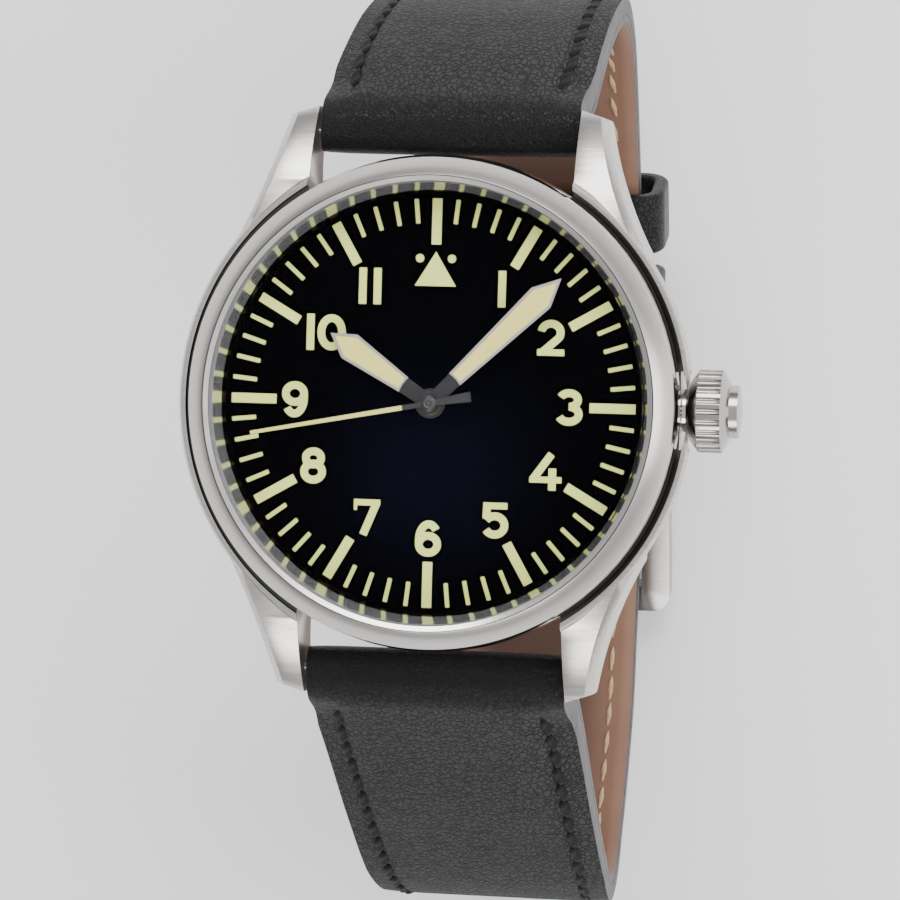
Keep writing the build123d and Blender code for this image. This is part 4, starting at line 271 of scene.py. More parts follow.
class Finish:
    """A material with its tree, its shader and its Object coordinates at hand."""

    def __init__(self, name, colour, roughness, metallic=0.0, specular=0.5):
        self.material = bpy.data.materials.new(name)
        self.material.use_nodes = True
        self.tree = self.material.node_tree
        self.shader = self.tree.nodes["Principled BSDF"]
        self.set(Base_Color=(*colour, 1.0), Roughness=roughness, Metallic=metallic, Specular_IOR_Level=specular)
        self.place = add(self.tree, "ShaderNodeTexCoord").outputs["Object"]

    def set(self, **sockets):
        """Set the shader's own sockets, or lead outputs to them."""
        for key, value in sockets.items():
            put(self.tree, self.shader.inputs[key.replace("_", " ")], value)

    def source(self, socket):
        """The output that feeds one of the shader's sockets."""
        return self.shader.inputs[socket].links[0].from_socket

    def math(self, operation, *values):
        """The result of a Math node on values or outputs."""
        return math_node(self.tree, operation, *values)

    def shared(self, name, vector=None, **values):
        """The outputs of a shared group, placed with its own values."""
        node = self.tree.nodes.new("ShaderNodeGroup")
        node.node_tree = shared_group(name)
        put(self.tree, node.inputs["Vector"], vector or self.place)
        for key, value in values.items():
            node.inputs[key].default_value = value
        return node.outputs

    def smudge(self, scale, low=0.0, high=1.0):
        """A soft cloudy value between two ends."""
        return self.shared("smudge", Scale=scale, Low=low, High=high)["Value"]

    def bump(self, height, strength, distance):
        """Raise the surface by a height value."""
        node = add(self.tree, "ShaderNodeBump", Strength=strength, Distance=distance, Height=height)
        self.set(Normal=node.outputs["Normal"])

    def mix_colour(self, mask, first, second):
        """Base colour between two colours by a mask; the first may be an output."""
        node = add(self.tree, "ShaderNodeMix", data_type="RGBA", Factor=mask)
        put(self.tree, node.inputs[6], (*first, 1.0) if isinstance(first, tuple) else first)
        put(self.tree, node.inputs[7], (*second, 1.0))
        self.set(Base_Color=node.outputs[2])

    def darken(self, mask, colour):
        """Lay another colour over the base colour by a mask."""
        self.mix_colour(mask, self.source("Base Color"), colour)

    def axis(self, name):
        """One of the Object coordinates."""
        return add(self.tree, "ShaderNodeSeparateXYZ", self.place).outputs[name]

    def radius(self):
        """The distance from the hands' axis, in metres."""
        squares = [self.math("POWER", self.axis(name), 2.0) for name in ("X", "Y")]
        return self.math("SQRT", self.math("ADD", *squares))

    def polar(self):
        """Object coordinates wound round the hands' axis: turn, radius and height."""
        turn = self.math("ARCTAN2", self.axis("Y"), self.axis("X"))
        return add(self.tree, "ShaderNodeCombineXYZ", self.math("MULTIPLY", turn, 0.003), self.radius(),
                   self.axis("Z")).outputs[0]


def scaled(colour, factor):
    """A colour made darker or lighter."""
    return tuple(min(1.0, part * factor) for part in colour)


def satin_steel(name, colour, stretch, roughness=(0.27, 0.36), strength=0.35, wound=False, depth=0.004,
                contrast=(0.86, 1.12)):
    """Brushed steel whose lines run across the stretch, or round the hands' axis."""
    finish = Finish(name, colour, roughness[0], 1.0)
    lines = finish.shared("brushed", finish.polar() if wound else None, Stretch=stretch, Strength=strength,
                          Distance=depth * MM)
    finish.set(Roughness=finish.smudge(260.0, *roughness), Normal=lines["Normal"])
    finish.mix_colour(lines["Lines"], scaled(colour, contrast[0]), scaled(colour, contrast[1]))
    return finish


def polished_steel(name, colour, roughness=(0.05, 0.12)):
    """Mirror polished steel with faint handling marks."""
    finish = Finish(name, colour, roughness[0], 1.0)
    hairline = finish.shared("brushed", Stretch=(3000.0, 900.0, 3000.0), Strength=0.03, Distance=0.002 * MM)
    finish.set(Roughness=finish.smudge(500.0, *roughness), Normal=hairline["Normal"])
    return finish


def bezel_steel(colour):
    """Satin on the sloped face, polished on the wall round it, the wall darkened as a painted dark reflection.
    """
    finish = satin_steel("Bezel steel", colour, (16000.0, 9000.0, 9000.0), (0.27, 0.34), 0.22, True)
    wall = finish.math("GREATER_THAN", finish.radius(), BEZEL_WALL * MM)
    face = finish.math("MULTIPLY", finish.source("Roughness"), finish.math("SUBTRACT", 1.0, wall))
    finish.set(Roughness=finish.math("ADD", face, finish.math("MULTIPLY", wall, 0.1)))
    # Painted dark reflection: the polished wall's colour is darkened to 0.72 to stand in for the dark that it
    # mirrors.
    finish.darken(wall, scaled(colour, 0.72))
    return finish


def case_steel(colour):
    """Satin case steel, with painted shadow in the groove under the bezel."""
    finish = satin_steel("Satin steel", colour, (350.0, 4300.0, 4300.0), (0.25, 0.36), 0.6,
                         depth=0.016, contrast=(0.66, 1.28))
    near = finish.math("LESS_THAN", finish.radius(), GROOVE_RADIUS * MM)
    high = finish.math("GREATER_THAN", finish.axis("Z"), GROOVE_FLOOR * MM)
    # Painted shadow: the groove under the bezel is darkened to stand in for the shade that falls in it.
    finish.darken(finish.math("MULTIPLY", near, high), scaled(colour, 0.16))
    return finish


def flange_steel():
    """Grey polished ring, black at its foot where it meets the dial as black paint that also stands in for the
    shade there, with a painted highlight on top.
    """
    grey = (0.5, 0.5, 0.52)
    finish = Finish("Flange steel", grey, 0.12, 0.91)
    # Black paint at the foot, which also stands in for the shade where the ring meets the dial.
    finish.mix_colour(finish.math("LESS_THAN", finish.axis("Z"), FLANGE_FOOT * MM), grey, (0.006, 0.006, 0.007))
    # Painted highlight: the top face is lighter than the rest of the same steel.
    finish.darken(finish.math("GREATER_THAN", finish.axis("Z"), FLANGE_TOP * MM), (0.9, 0.9, 0.91))
    finish.set(Roughness=finish.smudge(700.0, 0.08, 0.16))
    return finish


def crystal_glass():
    """Clear crystal that lets the lights through to the dial."""
    finish = Finish("Crystal glass", (1.0, 1.0, 1.0), 0.0)
    finish.set(Transmission_Weight=1.0, IOR=1.08, Roughness=finish.smudge(900.0, 0.0, 0.004))
    tree = finish.tree
    mix = add(tree, "ShaderNodeMixShader", add(tree, "ShaderNodeLightPath").outputs["Is Shadow Ray"],
              finish.shader.outputs[0], add(tree, "ShaderNodeBsdfTransparent").outputs[0])
    put(tree, tree.nodes["Material Output"].inputs["Surface"], mix.outputs[0])
    return finish


def black_rubber():
    """Matte black seals."""
    finish = Finish("Black rubber", (0.015, 0.015, 0.016), 0.6)
    finish.set(Roughness=finish.smudge(1500.0, 0.5, 0.7))
    return finish


def dial_black():
    """Deep black dial with a painted faint blue reflection below the centre and a fine paint grain."""
    finish = Finish("Dial black", (0.001, 0.001, 0.002), 0.7, specular=0.0)
    # Painted reflection: a faint blue glow below the centre, standing in for what the crystal's coating
    # reflects.
    away = add(finish.tree, "ShaderNodeVectorMath", finish.place, (0.0, -4.5 * MM, DIAL_TOP * MM),
               operation="DISTANCE").outputs["Value"]
    blue_reflection = ramp(finish.tree, away, 1.0 * MM, 11.0 * MM, 1.0, 0.0)
    finish.mix_colour(blue_reflection, (0.0004, 0.0004, 0.0008), (0.0013, 0.0014, 0.004))
    finish.bump(finish.smudge(9000.0), 0.05, 0.002 * MM)
    return finish


def lume_paint(name, colour):
    """Thick luminous paint with a fine powdery grain."""
    finish = Finish(name, colour, 0.7, specular=0.1)
    grain = finish.smudge(7000.0)
    finish.mix_colour(grain, scaled(colour, 0.88), scaled(colour, 1.1))
    finish.bump(grain, 0.2, 0.006 * MM)
    return finish


def hand_finish(name, colour, black_radius):
    """Polished hand whose root and hub are black inside a radius."""
    finish = polished_steel(name, colour, (0.12, 0.22))
    root = finish.math("LESS_THAN", finish.radius(), black_radius * MM)
    finish.mix_colour(root, colour, HAND_BLACK)
    finish.set(Metallic=finish.math("SUBTRACT", 1.0, root))
    return finish


def second_hand_finish(lume):
    """Black tail and hub, luminous needle beyond the hub."""
    finish = Finish("Second hand", HAND_BLACK, 0.35)
    direction = (sin(radians(SECOND_TURN)), cos(radians(SECOND_TURN)), 0.0)
    along = add(finish.tree, "ShaderNodeVectorMath", finish.place, direction, operation="DOT_PRODUCT")
    needle = finish.math("GREATER_THAN", along.outputs["Value"], NEEDLE_START * MM)
    finish.mix_colour(needle, HAND_BLACK, lume)
    finish.set(Roughness=finish.smudge(1500.0, 0.3, 0.5))
    return finish


def movement_nickel():
    """Nickelled plates with parallel waved stripes."""
    finish = satin_steel("Movement nickel", (0.60, 0.58, 0.54), (200.0, 9000.0, 9000.0), (0.2, 0.3), 0.15)
    stripes = add(finish.tree, "ShaderNodeTexWave", Vector=finish.place, Scale=70.0, Distortion=0.3,
                  bands_direction="DIAGONAL")
    finish.bump(stripes.outputs["Fac"], 0.35, 0.03 * MM)
    return finish


def movement_brass():
    """Gilt brass of the wheels."""
    return satin_steel("Movement brass", (0.66, 0.47, 0.20), (9000.0, 9000.0, 900.0), (0.18, 0.28), 0.12)


def ruby():
    """Clear red bearing stones."""
    finish = Finish("Jewel red", (0.55, 0.02, 0.06), 0.08)
    finish.set(Coat_Weight=0.6, Roughness=finish.smudge(3000.0, 0.05, 0.14))
    return finish


def keeper_leather():
    """Fine grained leather of the keepers, with tone changes and a waxed sheen."""
    colour = (0.022, 0.021, 0.023)
    finish = Finish("Keeper leather", colour, 0.36, specular=0.1)
    grain = finish.shared("grain", Scale=2600.0, Wrinkle=0.5)
    tone = finish.math("ADD", grain["Crease"], finish.smudge(160.0, -0.12, 0.12))
    finish.mix_colour(tone, scaled(colour, 0.18), scaled(colour, 1.15))
    finish.set(Roughness=finish.smudge(420.0, 0.3, 0.44))
    finish.bump(grain["Height"], 0.2, 0.07 * MM)
    return finish


def strap_hide(colour):
    """The strap's leather: pebbled on the band; finer grained, glossier and darker in colour where it is
    stretched over the spring bar.
    """
    finish = Finish("Charcoal leather", colour, 0.58, specular=0.15)
    drawn = add(finish.tree, "ShaderNodeVectorMath", finish.place, (1.0, 0.8, 0.55), operation="MULTIPLY")
    coarse = finish.shared("grain", drawn.outputs[0], Scale=2300.0, Wrinkle=0.5)
    fine = finish.shared("grain", Scale=3500.0, Wrinkle=0.5)
    tone = finish.math("ADD", coarse["Crease"], finish.smudge(160.0, -0.1, 0.1))
    finish.mix_colour(tone, scaled(colour, 0.08), scaled(colour, 1.25))
    past_bar = ramp(finish.tree, finish.math("ABSOLUTE", finish.axis("Y")), 21.0 * MM, 24.2 * MM)
    below_bar = finish.math("LESS_THAN", finish.axis("Z"), -3.0 * MM)
    roll = finish.math("SUBTRACT", 1.0, finish.math("MAXIMUM", past_bar, below_bar))
    finish.darken(roll, scaled(colour, 0.32))
    gloss = finish.math("MULTIPLY", roll, -0.26)
    finish.set(Roughness=finish.math("ADD", finish.smudge(420.0, 0.54, 0.66), gloss))
    height = add(finish.tree, "ShaderNodeMix", roll, None, coarse["Height"], fine["Height"], data_type="FLOAT")
    finish.bump(height.outputs[0], finish.math("MULTIPLY_ADD", roll, -0.45, 1.0), 0.09 * MM)
    return finish


def painted_back_shade(finish):
    """Where the lining has painted shade: the middle of the loop's back."""
    middle = ramp(finish.tree, finish.math("ABSOLUTE", finish.axis("X")), 3.0 * MM, 8.0 * MM, 1.0, 0.0)
    low = ramp(finish.tree, finish.axis("Z"), -42.0 * MM, -34.0 * MM, 1.0, 0.0)
    return finish.math("MULTIPLY", middle, low)


def smooth_lining(colour):
    """Smooth tan lining leather with fine pores, soft patches of wear and painted shade in the middle of the
    loop's back.
    """
    finish = Finish("Tan lining", colour, 0.6, specular=0.3)
    finish.mix_colour(finish.smudge(220.0), scaled(colour, 0.82), scaled(colour, 1.14))
    # Painted shade: the middle of the loop's back is darkened to stand in for the shade inside the loop.
    finish.darken(painted_back_shade(finish), scaled(colour, 0.3))
    pores = add(finish.tree, "ShaderNodeTexNoise", Vector=finish.place, Scale=4200.0, Detail=3.0, Roughness=0.6)
    finish.bump(pores.outputs["Fac"], 0.35, 0.03 * MM)
    return finish


def fibrous(name, colour, roughness, specular, stretch, strength, depth, dark, pale):
    """A finish of fine fibres that run across the stretch, between two colours."""
    finish = Finish(name, colour, roughness, specular=specular)
    fibres = finish.shared("brushed", Stretch=stretch, Strength=strength, Distance=depth * MM)
    finish.mix_colour(fibres["Lines"], dark, pale)
    finish.set(Normal=fibres["Normal"])
    return finish


def edge_paint():
    """Grey burnished strap edges with fine fibres along them."""
    return fibrous("Strap edge", (0.10, 0.095, 0.095), 0.55, 0.2, (2500.0, 500.0, 500.0), 0.5, 0.05,
                   (0.025, 0.023, 0.026), (0.17, 0.16, 0.165))


def thread_finish(name, colour):
    """Waxed thread with a fine twist."""
    return fibrous(name, colour, 0.65, 0.15, (5000.0, 1800.0, 1800.0), 0.6, 0.03, scaled(colour, 0.5),
                   scaled(colour, 1.6))


# Dressing CAD nodes


def soften(shown, width, segments=3, angle=40.0):
    """Round a piece's sharp edges."""
    soft = shown.modifiers.new("Soft edges", "BEVEL")
    soft.width = width * MM
    soft.segments = segments
    soft.limit_method = "ANGLE"
    soft.angle_limit = radians(angle)


def keep_sharp(shown, angle):
    """Shade a piece's sharp edges as sharp."""
    sharp = shown.modifiers.new("Sharp edges", "EDGE_SPLIT")
    sharp.split_angle = radians(angle)


def dress(node, material, split=30.0, bevel=0.0):
    """Give a CAD node its material, smooth shading and, if asked, softened edges."""
    shown = frame["nodes"][node]
    shown.data.materials.clear()
    shown.data.materials.append(material)
    for face in shown.data.polygons:
        face.use_smooth = True
    weld = shown.modifiers.new("Weld", "WELD")
    weld.merge_threshold = 0.0005 * MM
    if bevel:
        soften(shown, bevel, 2, split)
    keep_sharp(shown, split)


def filled(name, mesh):
    """Mesh data with the shape of a bmesh, which is freed."""
    data = bpy.data.meshes.new(name)
    mesh.to_mesh(data)
    mesh.free()
    return data


def placed(name, data):
    """A new object in the scene."""
    shown = bpy.data.objects.new(name, data)
    bpy.context.scene.collection.objects.link(shown)
    return shown


def piece(name, mesh, body, slot, *materials):
    """Put a finished bmesh into the scene as a piece that rides on a body."""
    shown = placed(name, filled(name, mesh))
    for material in materials:
        shown.data.materials.append(material)
    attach(shown, body)
    return shown


def smooth(mesh):
    """Smooth shading on every face."""
    for face in mesh.faces:
        face.smooth = True


# Dial numbers. Each number is a set of strokes round its own centre, drawn in
# millimetres: a stroke is a list of points or of arcs.


def arc(centre, radii, start, end, steps=24):
    """Points on an ellipse between two angles in degrees."""
    points = []
    for step in range(steps + 1):
        turn = radians(start + (end - start) * step / steps)
        points.append((centre[0] + radii[0] * cos(turn), centre[1] + radii[1] * sin(turn)))
    return points


NUMERALS = {
    "0": [arc((0, 0), (0.79, 1.065), 0, 360)],
    "1": [[(0, 1.35), (0, -1.35)]],
    "2": [arc((0, 0.4), (0.72, 0.665), 172, -38) + [(-0.62, -1.065)], [(-1.0, -1.065), (1.02, -1.065)]],
    "3": [arc((-0.04, 0.56), (0.66, 0.505), 158, -90), arc((-0.04, -0.505), (0.745, 0.56), 90, -158)],
    "4": [[(0.42, 1.35), (-0.95, -0.57)], [(-1.2, -0.57), (1.2, -0.57)], [(0.5, 0.28), (0.5, -1.35)]],
    "5": [[(-0.92, 1.065), (0.88, 1.065)], [(-0.62, 1.3), (-0.68, 0.1)],
          arc((-0.04, -0.38), (0.74, 0.685), 148, -150)],
    "6": [arc((0, -0.43), (0.7, 0.635), 0, 360), arc((0.02, -0.1), (0.72, 1.165), 40, 196)],
    "7": [[(-0.98, 1.065), (1.0, 1.065)], [(0.76, 1.1), (-0.24, -1.35)], [(-0.86, 1.3), (-0.86, 0.48)]],
    "8": [arc((0, 0.57), (0.585, 0.495), 0, 360), arc((0, -0.46), (0.69, 0.605), 0, 360)],
    "9": [arc((0, 0.43), (0.7, 0.635), 0, 360), arc((-0.02, 0.1), (0.72, 1.165), 220, 376)],
}
STROKE_SHARE = {("7", 2): 0.4, ("4", 1): 0.8, ("7", 0): 0.8, ("5", 0): 0.85, ("2", 1): 0.85}
NUMERAL_PLACES = (
    ("1", 5.02, 8.6), ("2", 8.77, 5.08), ("3", 10.3, 0.0), ("4", 8.66, -4.83), ("5", 5.0, -8.52),
    ("6", 0.0, -10.05), ("7", -4.7, -8.58), ("8", -8.85, -4.9), ("9", -10.39, 0.0),
    ("1", -9.33, 5.07), ("0", -7.73, 5.07), ("1", -5.46, 8.6), ("1", -4.35, 8.6),
)
LUME_RISE = 0.07
NUMERAL_DRAWN = 2.7


def raise_faces(mesh, faces, rise):
    """Extrude faces upwards by millimetres, and name the vertices that moved."""
    grown = bmesh.ops.extrude_face_region(mesh, geom=faces)
    raised = [item for item in grown["geom"] if isinstance(item, bmesh.types.BMVert)]
    bmesh.ops.translate(mesh, vec=(0, 0, rise * MM), verts=raised)
    return raised


def stroke(mesh, points, half, low, rise):
    """One raised stroke of even width along its points."""
    closed = (Vector(points[0]) - Vector(points[-1])).length < half / 10
    centre = [Vector(point) for point in (points[:-1] if closed else points)]
    count = len(centre)
    sides = ([], [])
    for index, place in enumerate(centre):
        before = centre[index - 1] if closed or index else place
        after = centre[(index + 1) % count] if closed or index < count - 1 else place
        first = (place - before).normalized() if place != before else (after - place).normalized()
        second = (after - place).normalized() if after != place else first
        along = (first + second).normalized()
        normal = Vector((-along.y, along.x))
        reach = half / max(0.5, normal.dot(Vector((-first.y, first.x))))
        for line, sign in zip(sides, (1, -1)):
            spot = place + sign * reach * normal
            line.append(mesh.verts.new((spot.x * MM, spot.y * MM, low * MM)))
    edges = []
    for line in sides:
        pairs = list(zip(line, line[1:])) + ([(line[-1], line[0])] if closed else [])
        edges += [mesh.edges.new(pair) for pair in pairs]
    raise_faces(mesh, bmesh.ops.bridge_loops(mesh, edges=edges)["faces"], rise)


def dial_numerals(sizes):
    """All the numbers of the dial as one raised print."""
    mesh = bmesh.new()
    half = sizes.numeral_stroke / MM / 2
    height = sizes.numeral_height / (NUMERAL_DRAWN * MM)
    for figure, x, y in NUMERAL_PLACES:
        for index, points in enumerate(NUMERALS[figure]):
            placed = [(x + height * point[0], y + height * point[1]) for point in points]
            width = half * STROKE_SHARE.get((figure, index), 1.0)
            stroke(mesh, placed, width, DIAL_TOP, LUME_RISE + 0.002 * index)
    bmesh.ops.recalc_face_normals(mesh, faces=mesh.faces)
    return mesh


def inlay(fill, clock_turn, top):
    """The luminous fill of one hand's window."""
    mesh = bmesh.new()
    root, root_half, shoulder, shoulder_half, tip = fill
    low = (top - FILL_SUNK) * MM
    corners = ((-root_half, root), (root_half, root), (shoulder_half, shoulder), (0, tip),
               (-shoulder_half, shoulder))
    face = mesh.faces.new([mesh.verts.new((x * MM, y * MM, low)) for x, y in corners])
    raised = raise_faces(mesh, [face], FILL_DEPTH)
    bmesh.ops.recalc_face_normals(mesh, faces=mesh.faces)
    top = [edge for edge in mesh.edges if all(vert in raised for vert in edge.verts)]
    bmesh.ops.bevel(mesh, geom=top, offset=0.03 * MM, segments=2, affect="EDGES", profile=0.5, material=-1)
    bmesh.ops.rotate(mesh, cent=(0, 0, 0), matrix=Matrix.Rotation(radians(-clock_turn), 3, "Z"),
                     verts=mesh.verts)
    return mesh


def turned(section, low, steps):
    """A shape turned round the hands' axis from a section of radii and rises, in millimetres."""
    mesh = bmesh.new()
    verts = [mesh.verts.new((radius * MM, 0, (low + rise) * MM)) for radius, rise in section]
    ends = verts[1:] + (verts[:1] if section[0][0] > 0 else [])
    edges = [mesh.edges.new(pair) for pair in zip(verts, ends)]
    bmesh.ops.spin(mesh, geom=edges + verts, cent=(0, 0, 0), axis=(0, 0, 1), angle=2 * pi, steps=steps,
                   use_merge=True)
    bmesh.ops.remove_doubles(mesh, verts=mesh.verts, dist=0.0001 * MM)
    bmesh.ops.recalc_face_normals(mesh, faces=mesh.faces)
    return mesh


def hub_cap(low):
    """The turned black cap in the middle of the second hand."""
    mesh = turned(((0.0, 0.16), (0.14, 0.16), (0.17, 0.10), (0.24, 0.10), (0.28, 0.19), (0.34, 0.19),
                   (0.40, 0.08), (0.54, 0.05), (0.56, 0.0)), low, 48)
    smooth(mesh)
    return mesh


def crystal_lip():
    """The thin polished ring between the crystal's bevel and the bezel."""
    return turned(((16.42, 2.84), (16.42, 2.87), (16.78, 3.0), (16.78, 2.84)), DIAL_TOP, 192)


# Strap. A path runs along the outer face; the leather hangs under it.


def through(points, steps):
    """A smooth line through a few points, with evenly counted steps between them."""
    places = [Vector((*point, 0)) for point in points]
    line = []
    for index in range(len(places) - 1):
        before = places[max(0, index - 1)]
        start, end = places[index], places[index + 1]
        after = places[min(len(places) - 1, index + 2)]
        part = interpolate_bezier(start, start + (end - before) / 6, end - (after - start) / 6, end, steps + 1)
        line += [Vector((spot.x, spot.y)) for spot in part[:-1]]
    line.append(places[-1].xy)
    return line


def even(line, spacing):
    """The same line with its points about a spacing apart."""
    spots = [line[0]]
    left = spacing
    for start, end in zip(line, line[1:]):
        run = (end - start).length
        travelled = 0.0
        while run - travelled >= left:
            travelled += left
            spots.append(start.lerp(end, travelled / run))
            left = spacing
        left -= run - travelled
    if (spots[-1] - line[-1]).length > spacing / 2:
        spots.append(line[-1])
    else:
        spots[-1] = line[-1]
    return spots


def back_arc(radius, start, end, steps, side):
    """The shared arc at the back, seen from the half's own side."""
    points = []
    for step in range(steps + 1):
        y = start + (end - start) * step / steps
        points.append((side * y, BACK_ARC_Z - sqrt(radius ** 2 - (y - BACK_ARC_Y) ** 2)))
    return points


class StrapHalf:
    """The outer path of one strap half, its depth, its width and its frame at each place."""

    def __init__(self, sizes, side):
        self.side = side
        self.front = sizes.front_half / MM
        self.back = sizes.back_half / MM
        self.pad = sizes.pad_depth / MM
        self.thin = sizes.back_depth / MM
        self.lining = sizes.lining_depth / MM
        self.inset = sizes.stitch_inset / MM
        profile = UPPER_PROFILE if side > 0 else LOWER_PROFILE
        radius = UPPER_ARC if side > 0 else LOWER_ARC
        start, end = (UPPER_START, BUCKLE_BAR.x) if side > 0 else (LOWER_START, TAIL_TIP)
        body = through(list(profile) + back_arc(radius, start, end, 8, side), 12)
        self.line = even(body, LINE_SPACING)
        last = Vector(profile[-1])
        self.spring = min(range(len(self.line)), key=lambda index: (self.line[index] - last).length)

    def heading(self, index):
        """The direction of travel at a step."""
        before = self.line[max(0, index - 1)]
        after = self.line[min(len(self.line) - 1, index + 1)]
        return (after - before).normalized()

    def outward(self, index):
        """The direction away from the wrist at a step."""
        along = self.heading(index)
        return Vector((-along.y, along.x))

    def depth(self, index):
        """The leather's depth at a step."""
        eased = min(1.0, index / (PAD_END * self.spring))
        return self.thin + (self.pad - self.thin) * (1 + cos(pi * eased)) / 2

    def padding(self, index):
        """How much the pad raises the middle at a step, grown in from the roll."""
        return (self.depth(index) - self.thin) * min(1.0, index / PAD_STEPS)

    def seam(self, index):
        """How deep the seam's groove is at a step, from none at the roll to its full depth."""
        return SEAM_DEPTH * min(1.0, max(0.0, (index - SEAM_START) / SEAM_STEPS))

    def half_width(self, index):
        """Half the strap's width at a step, rounded off at the tail's tip."""
        y, z = self.line[index]
        half = self.front
        knots = [(height, self.front + more) for height, more in SWELL] + [(BACK_HEIGHT, self.back)]
        for (top, wide), (low, narrow) in zip(knots, knots[1:]):
            share = min(1.0, max(0.0, (top - z) / (top - low)))
            half += share * (narrow - wide)
        past = -y - (TAIL_TIP - self.back) if self.side < 0 else 0.0
        if past > 0:
            half = min(half, sqrt(max(0.01, self.back ** 2 - past ** 2)))
        return half

    def world(self, x, spot):
        """A place of the half's side view in the frame, in metres."""
        return Vector((x * MM, self.side * spot.x * MM, spot.y * MM))


# The strap's section: lengths in millimetres, turns in degrees, counts of steps.
# CROWN_DROP is a share of the pad, PAD_END of the way to the back arc, SHOULDER of
# the half width, and STITCH_TWIST is in radians over one stitch.
LINE_SPACING = 0.35
ROLL_START = 318.0
ROLL_END = 62.0
ROLL_STEPS = 22
ROLL_DEPTH = 0.78
ACROSS = 40
CROWN_DROP = 0.5
PAD_STEPS = 14
BLEND_STEPS = 6
BLEND_ROUNDS = 10
PAD_END = 0.62
SHOULDER = 0.62
SEAM_DEPTH = 0.2
SEAM_REACH = 0.42
SEAM_START = 3
SEAM_STEPS = 4
EDGE_DROP = 0.12
WRAP_DEPTH = 0.34
WRAP_STEPS = 12
WRAP_START = -90.0
WRAP_TURN = 190.0
LINING_INSET = 0.03
LINING_ACROSS = 16
LINING_START = 6
LINING_SHORT = 4
STITCH_START = 6
STITCH_SHORT = 12
STITCH_SHARE = 1.08
STITCH_THICK = 0.74
LINING_STITCH_START = 10
LINING_STITCH_SHARE = 0.8
LINING_STITCH_THICK = 0.36
STITCH_TWIST = 9.0
STITCH_SUNK = 0.06
THREAD_RISE = 0.02


def section_drop(half, x, pad, inset, groove):
    """How far the outer face lies below the path at a place across the strap."""
    edge = abs(x) / half
    shoulder = max(0.0, (edge - SHOULDER) / (1 - SHOULDER))
    drop = pad * CROWN_DROP * shoulder * shoulder * (3 - 2 * shoulder)
    seam = (abs(x) - (half - inset)) / SEAM_REACH
    return drop + groove * max(0.0, 1 - seam * seam) + EDGE_DROP * edge ** 8


def blended(stations, middle):
    """The stations with the corner between roll and band smoothed away."""
    spots = [station[0].copy() for station in stations]
    first, last = middle - BLEND_STEPS, middle + 2 * BLEND_STEPS
    for _ in range(BLEND_ROUNDS):
        before = [spot.copy() for spot in spots]
        for index in range(first, last):
            spots[index] = (before[index - 1] + 2 * before[index] + before[index + 1]) / 4
    smoothed = list(stations)
    for index in range(first, last):
        along = (spots[index + 1] - spots[index - 1]).normalized()
        smoothed[index] = (spots[index], Vector((-along.y, along.x)), *stations[index][2:])
    return smoothed


def slab(columns, rows, place):
    """A grid with an underside, each corner where place() puts it, its side walls in the second material."""
    mesh = bmesh.new()
    bmesh.ops.create_grid(mesh, x_segments=columns, y_segments=rows, size=0.5)
    grown = bmesh.ops.extrude_face_region(mesh, geom=list(mesh.faces))
    under = {item for item in grown["geom"] if isinstance(item, bmesh.types.BMVert)}
    for vert in mesh.verts:
        vert.co = place(vert.co.x * 2, round((vert.co.y + 0.5) * rows), vert in under)
    bmesh.ops.recalc_face_normals(mesh, faces=mesh.faces)
    smooth(mesh)
    for face in mesh.faces:
        face.material_index = 1 if abs(face.normal.x) > 0.8 else 0
    return mesh


def turn_out(degrees):
    """The direction at a turn in the half's side view."""
    return Vector((cos(radians(degrees)), sin(radians(degrees))))


def strap_leather(half):
    """The leather body of one half: a roll round the spring bar, then the padded band."""
    stations = []
    for step in range(ROLL_STEPS + 1):
        out = turn_out(ROLL_START + (ROLL_END - ROLL_START) * step / ROLL_STEPS)
        stations.append((BAR + ROLL_RADIUS * out, out, ROLL_DEPTH, half.front, 0.0, 0.0))
    for index in range(len(half.line)):
        stations.append((half.line[index], half.outward(index), half.depth(index), half.half_width(index),
                         half.padding(index), half.seam(index)))
    stations = blended(stations, ROLL_STEPS)
    if half.side > 0:
        for step in range(1, WRAP_STEPS + 1):
            out = turn_out(WRAP_START - WRAP_TURN * step / WRAP_STEPS)
            spot = BUCKLE_BAR + (half.thin + half.lining) / 2 * out
            stations.append((spot, out, WRAP_DEPTH, half.back, 0.0, 0.0))

    def place(share, row, under):
        spot, out, depth, width, pad, groove = stations[row]
        drop = depth if under else section_drop(width, share * width, pad, half.inset, groove)
        return half.world(share * width, spot - drop * out)

    return slab(ACROSS, len(stations) - 1, place)


def band_under(half, start, end):
    """The lining: a thin band under the leather, from one step to another."""
    def place(share, row, under):
        index = start + row
        drop = half.depth(index) + (half.lining if under else 0.0)
        spot = half.line[index] - drop * half.outward(index)
        return half.world(share * (half.half_width(index) - LINING_INSET), spot)

    return slab(LINING_ACROSS, end - start, place)


def plumpness(lift):
    """How much fuller a stitch is than a ball, from its one end at -0.5 to its other at 0.5."""
    if abs(lift) >= 0.499:
        return 1.0
    return (1 - abs(2 * lift) ** 3) ** 0.5 / max(0.02, (1 - (2 * lift) ** 2) ** 0.5)


def add_stitch(mesh, place, along, out, length, thick):
    """One plump stitch of two twisted strands."""
    grown = bmesh.ops.create_uvsphere(mesh, u_segments=20, v_segments=14, radius=0.5)["verts"]
    side = along.cross(out).normalized()
    for vert in grown:
        lift = vert.co.z
        turn = atan2(vert.co.y, vert.co.x)
        strand = thick * plumpness(lift) * (1.0 + 0.2 * cos(2 * turn + STITCH_TWIST * lift))
        lean = 0.05 * length * lift
        vert.co = place + (lift * length) * along + (vert.co.x * strand + lean) * side \
            + (vert.co.y * strand * 0.8) * out


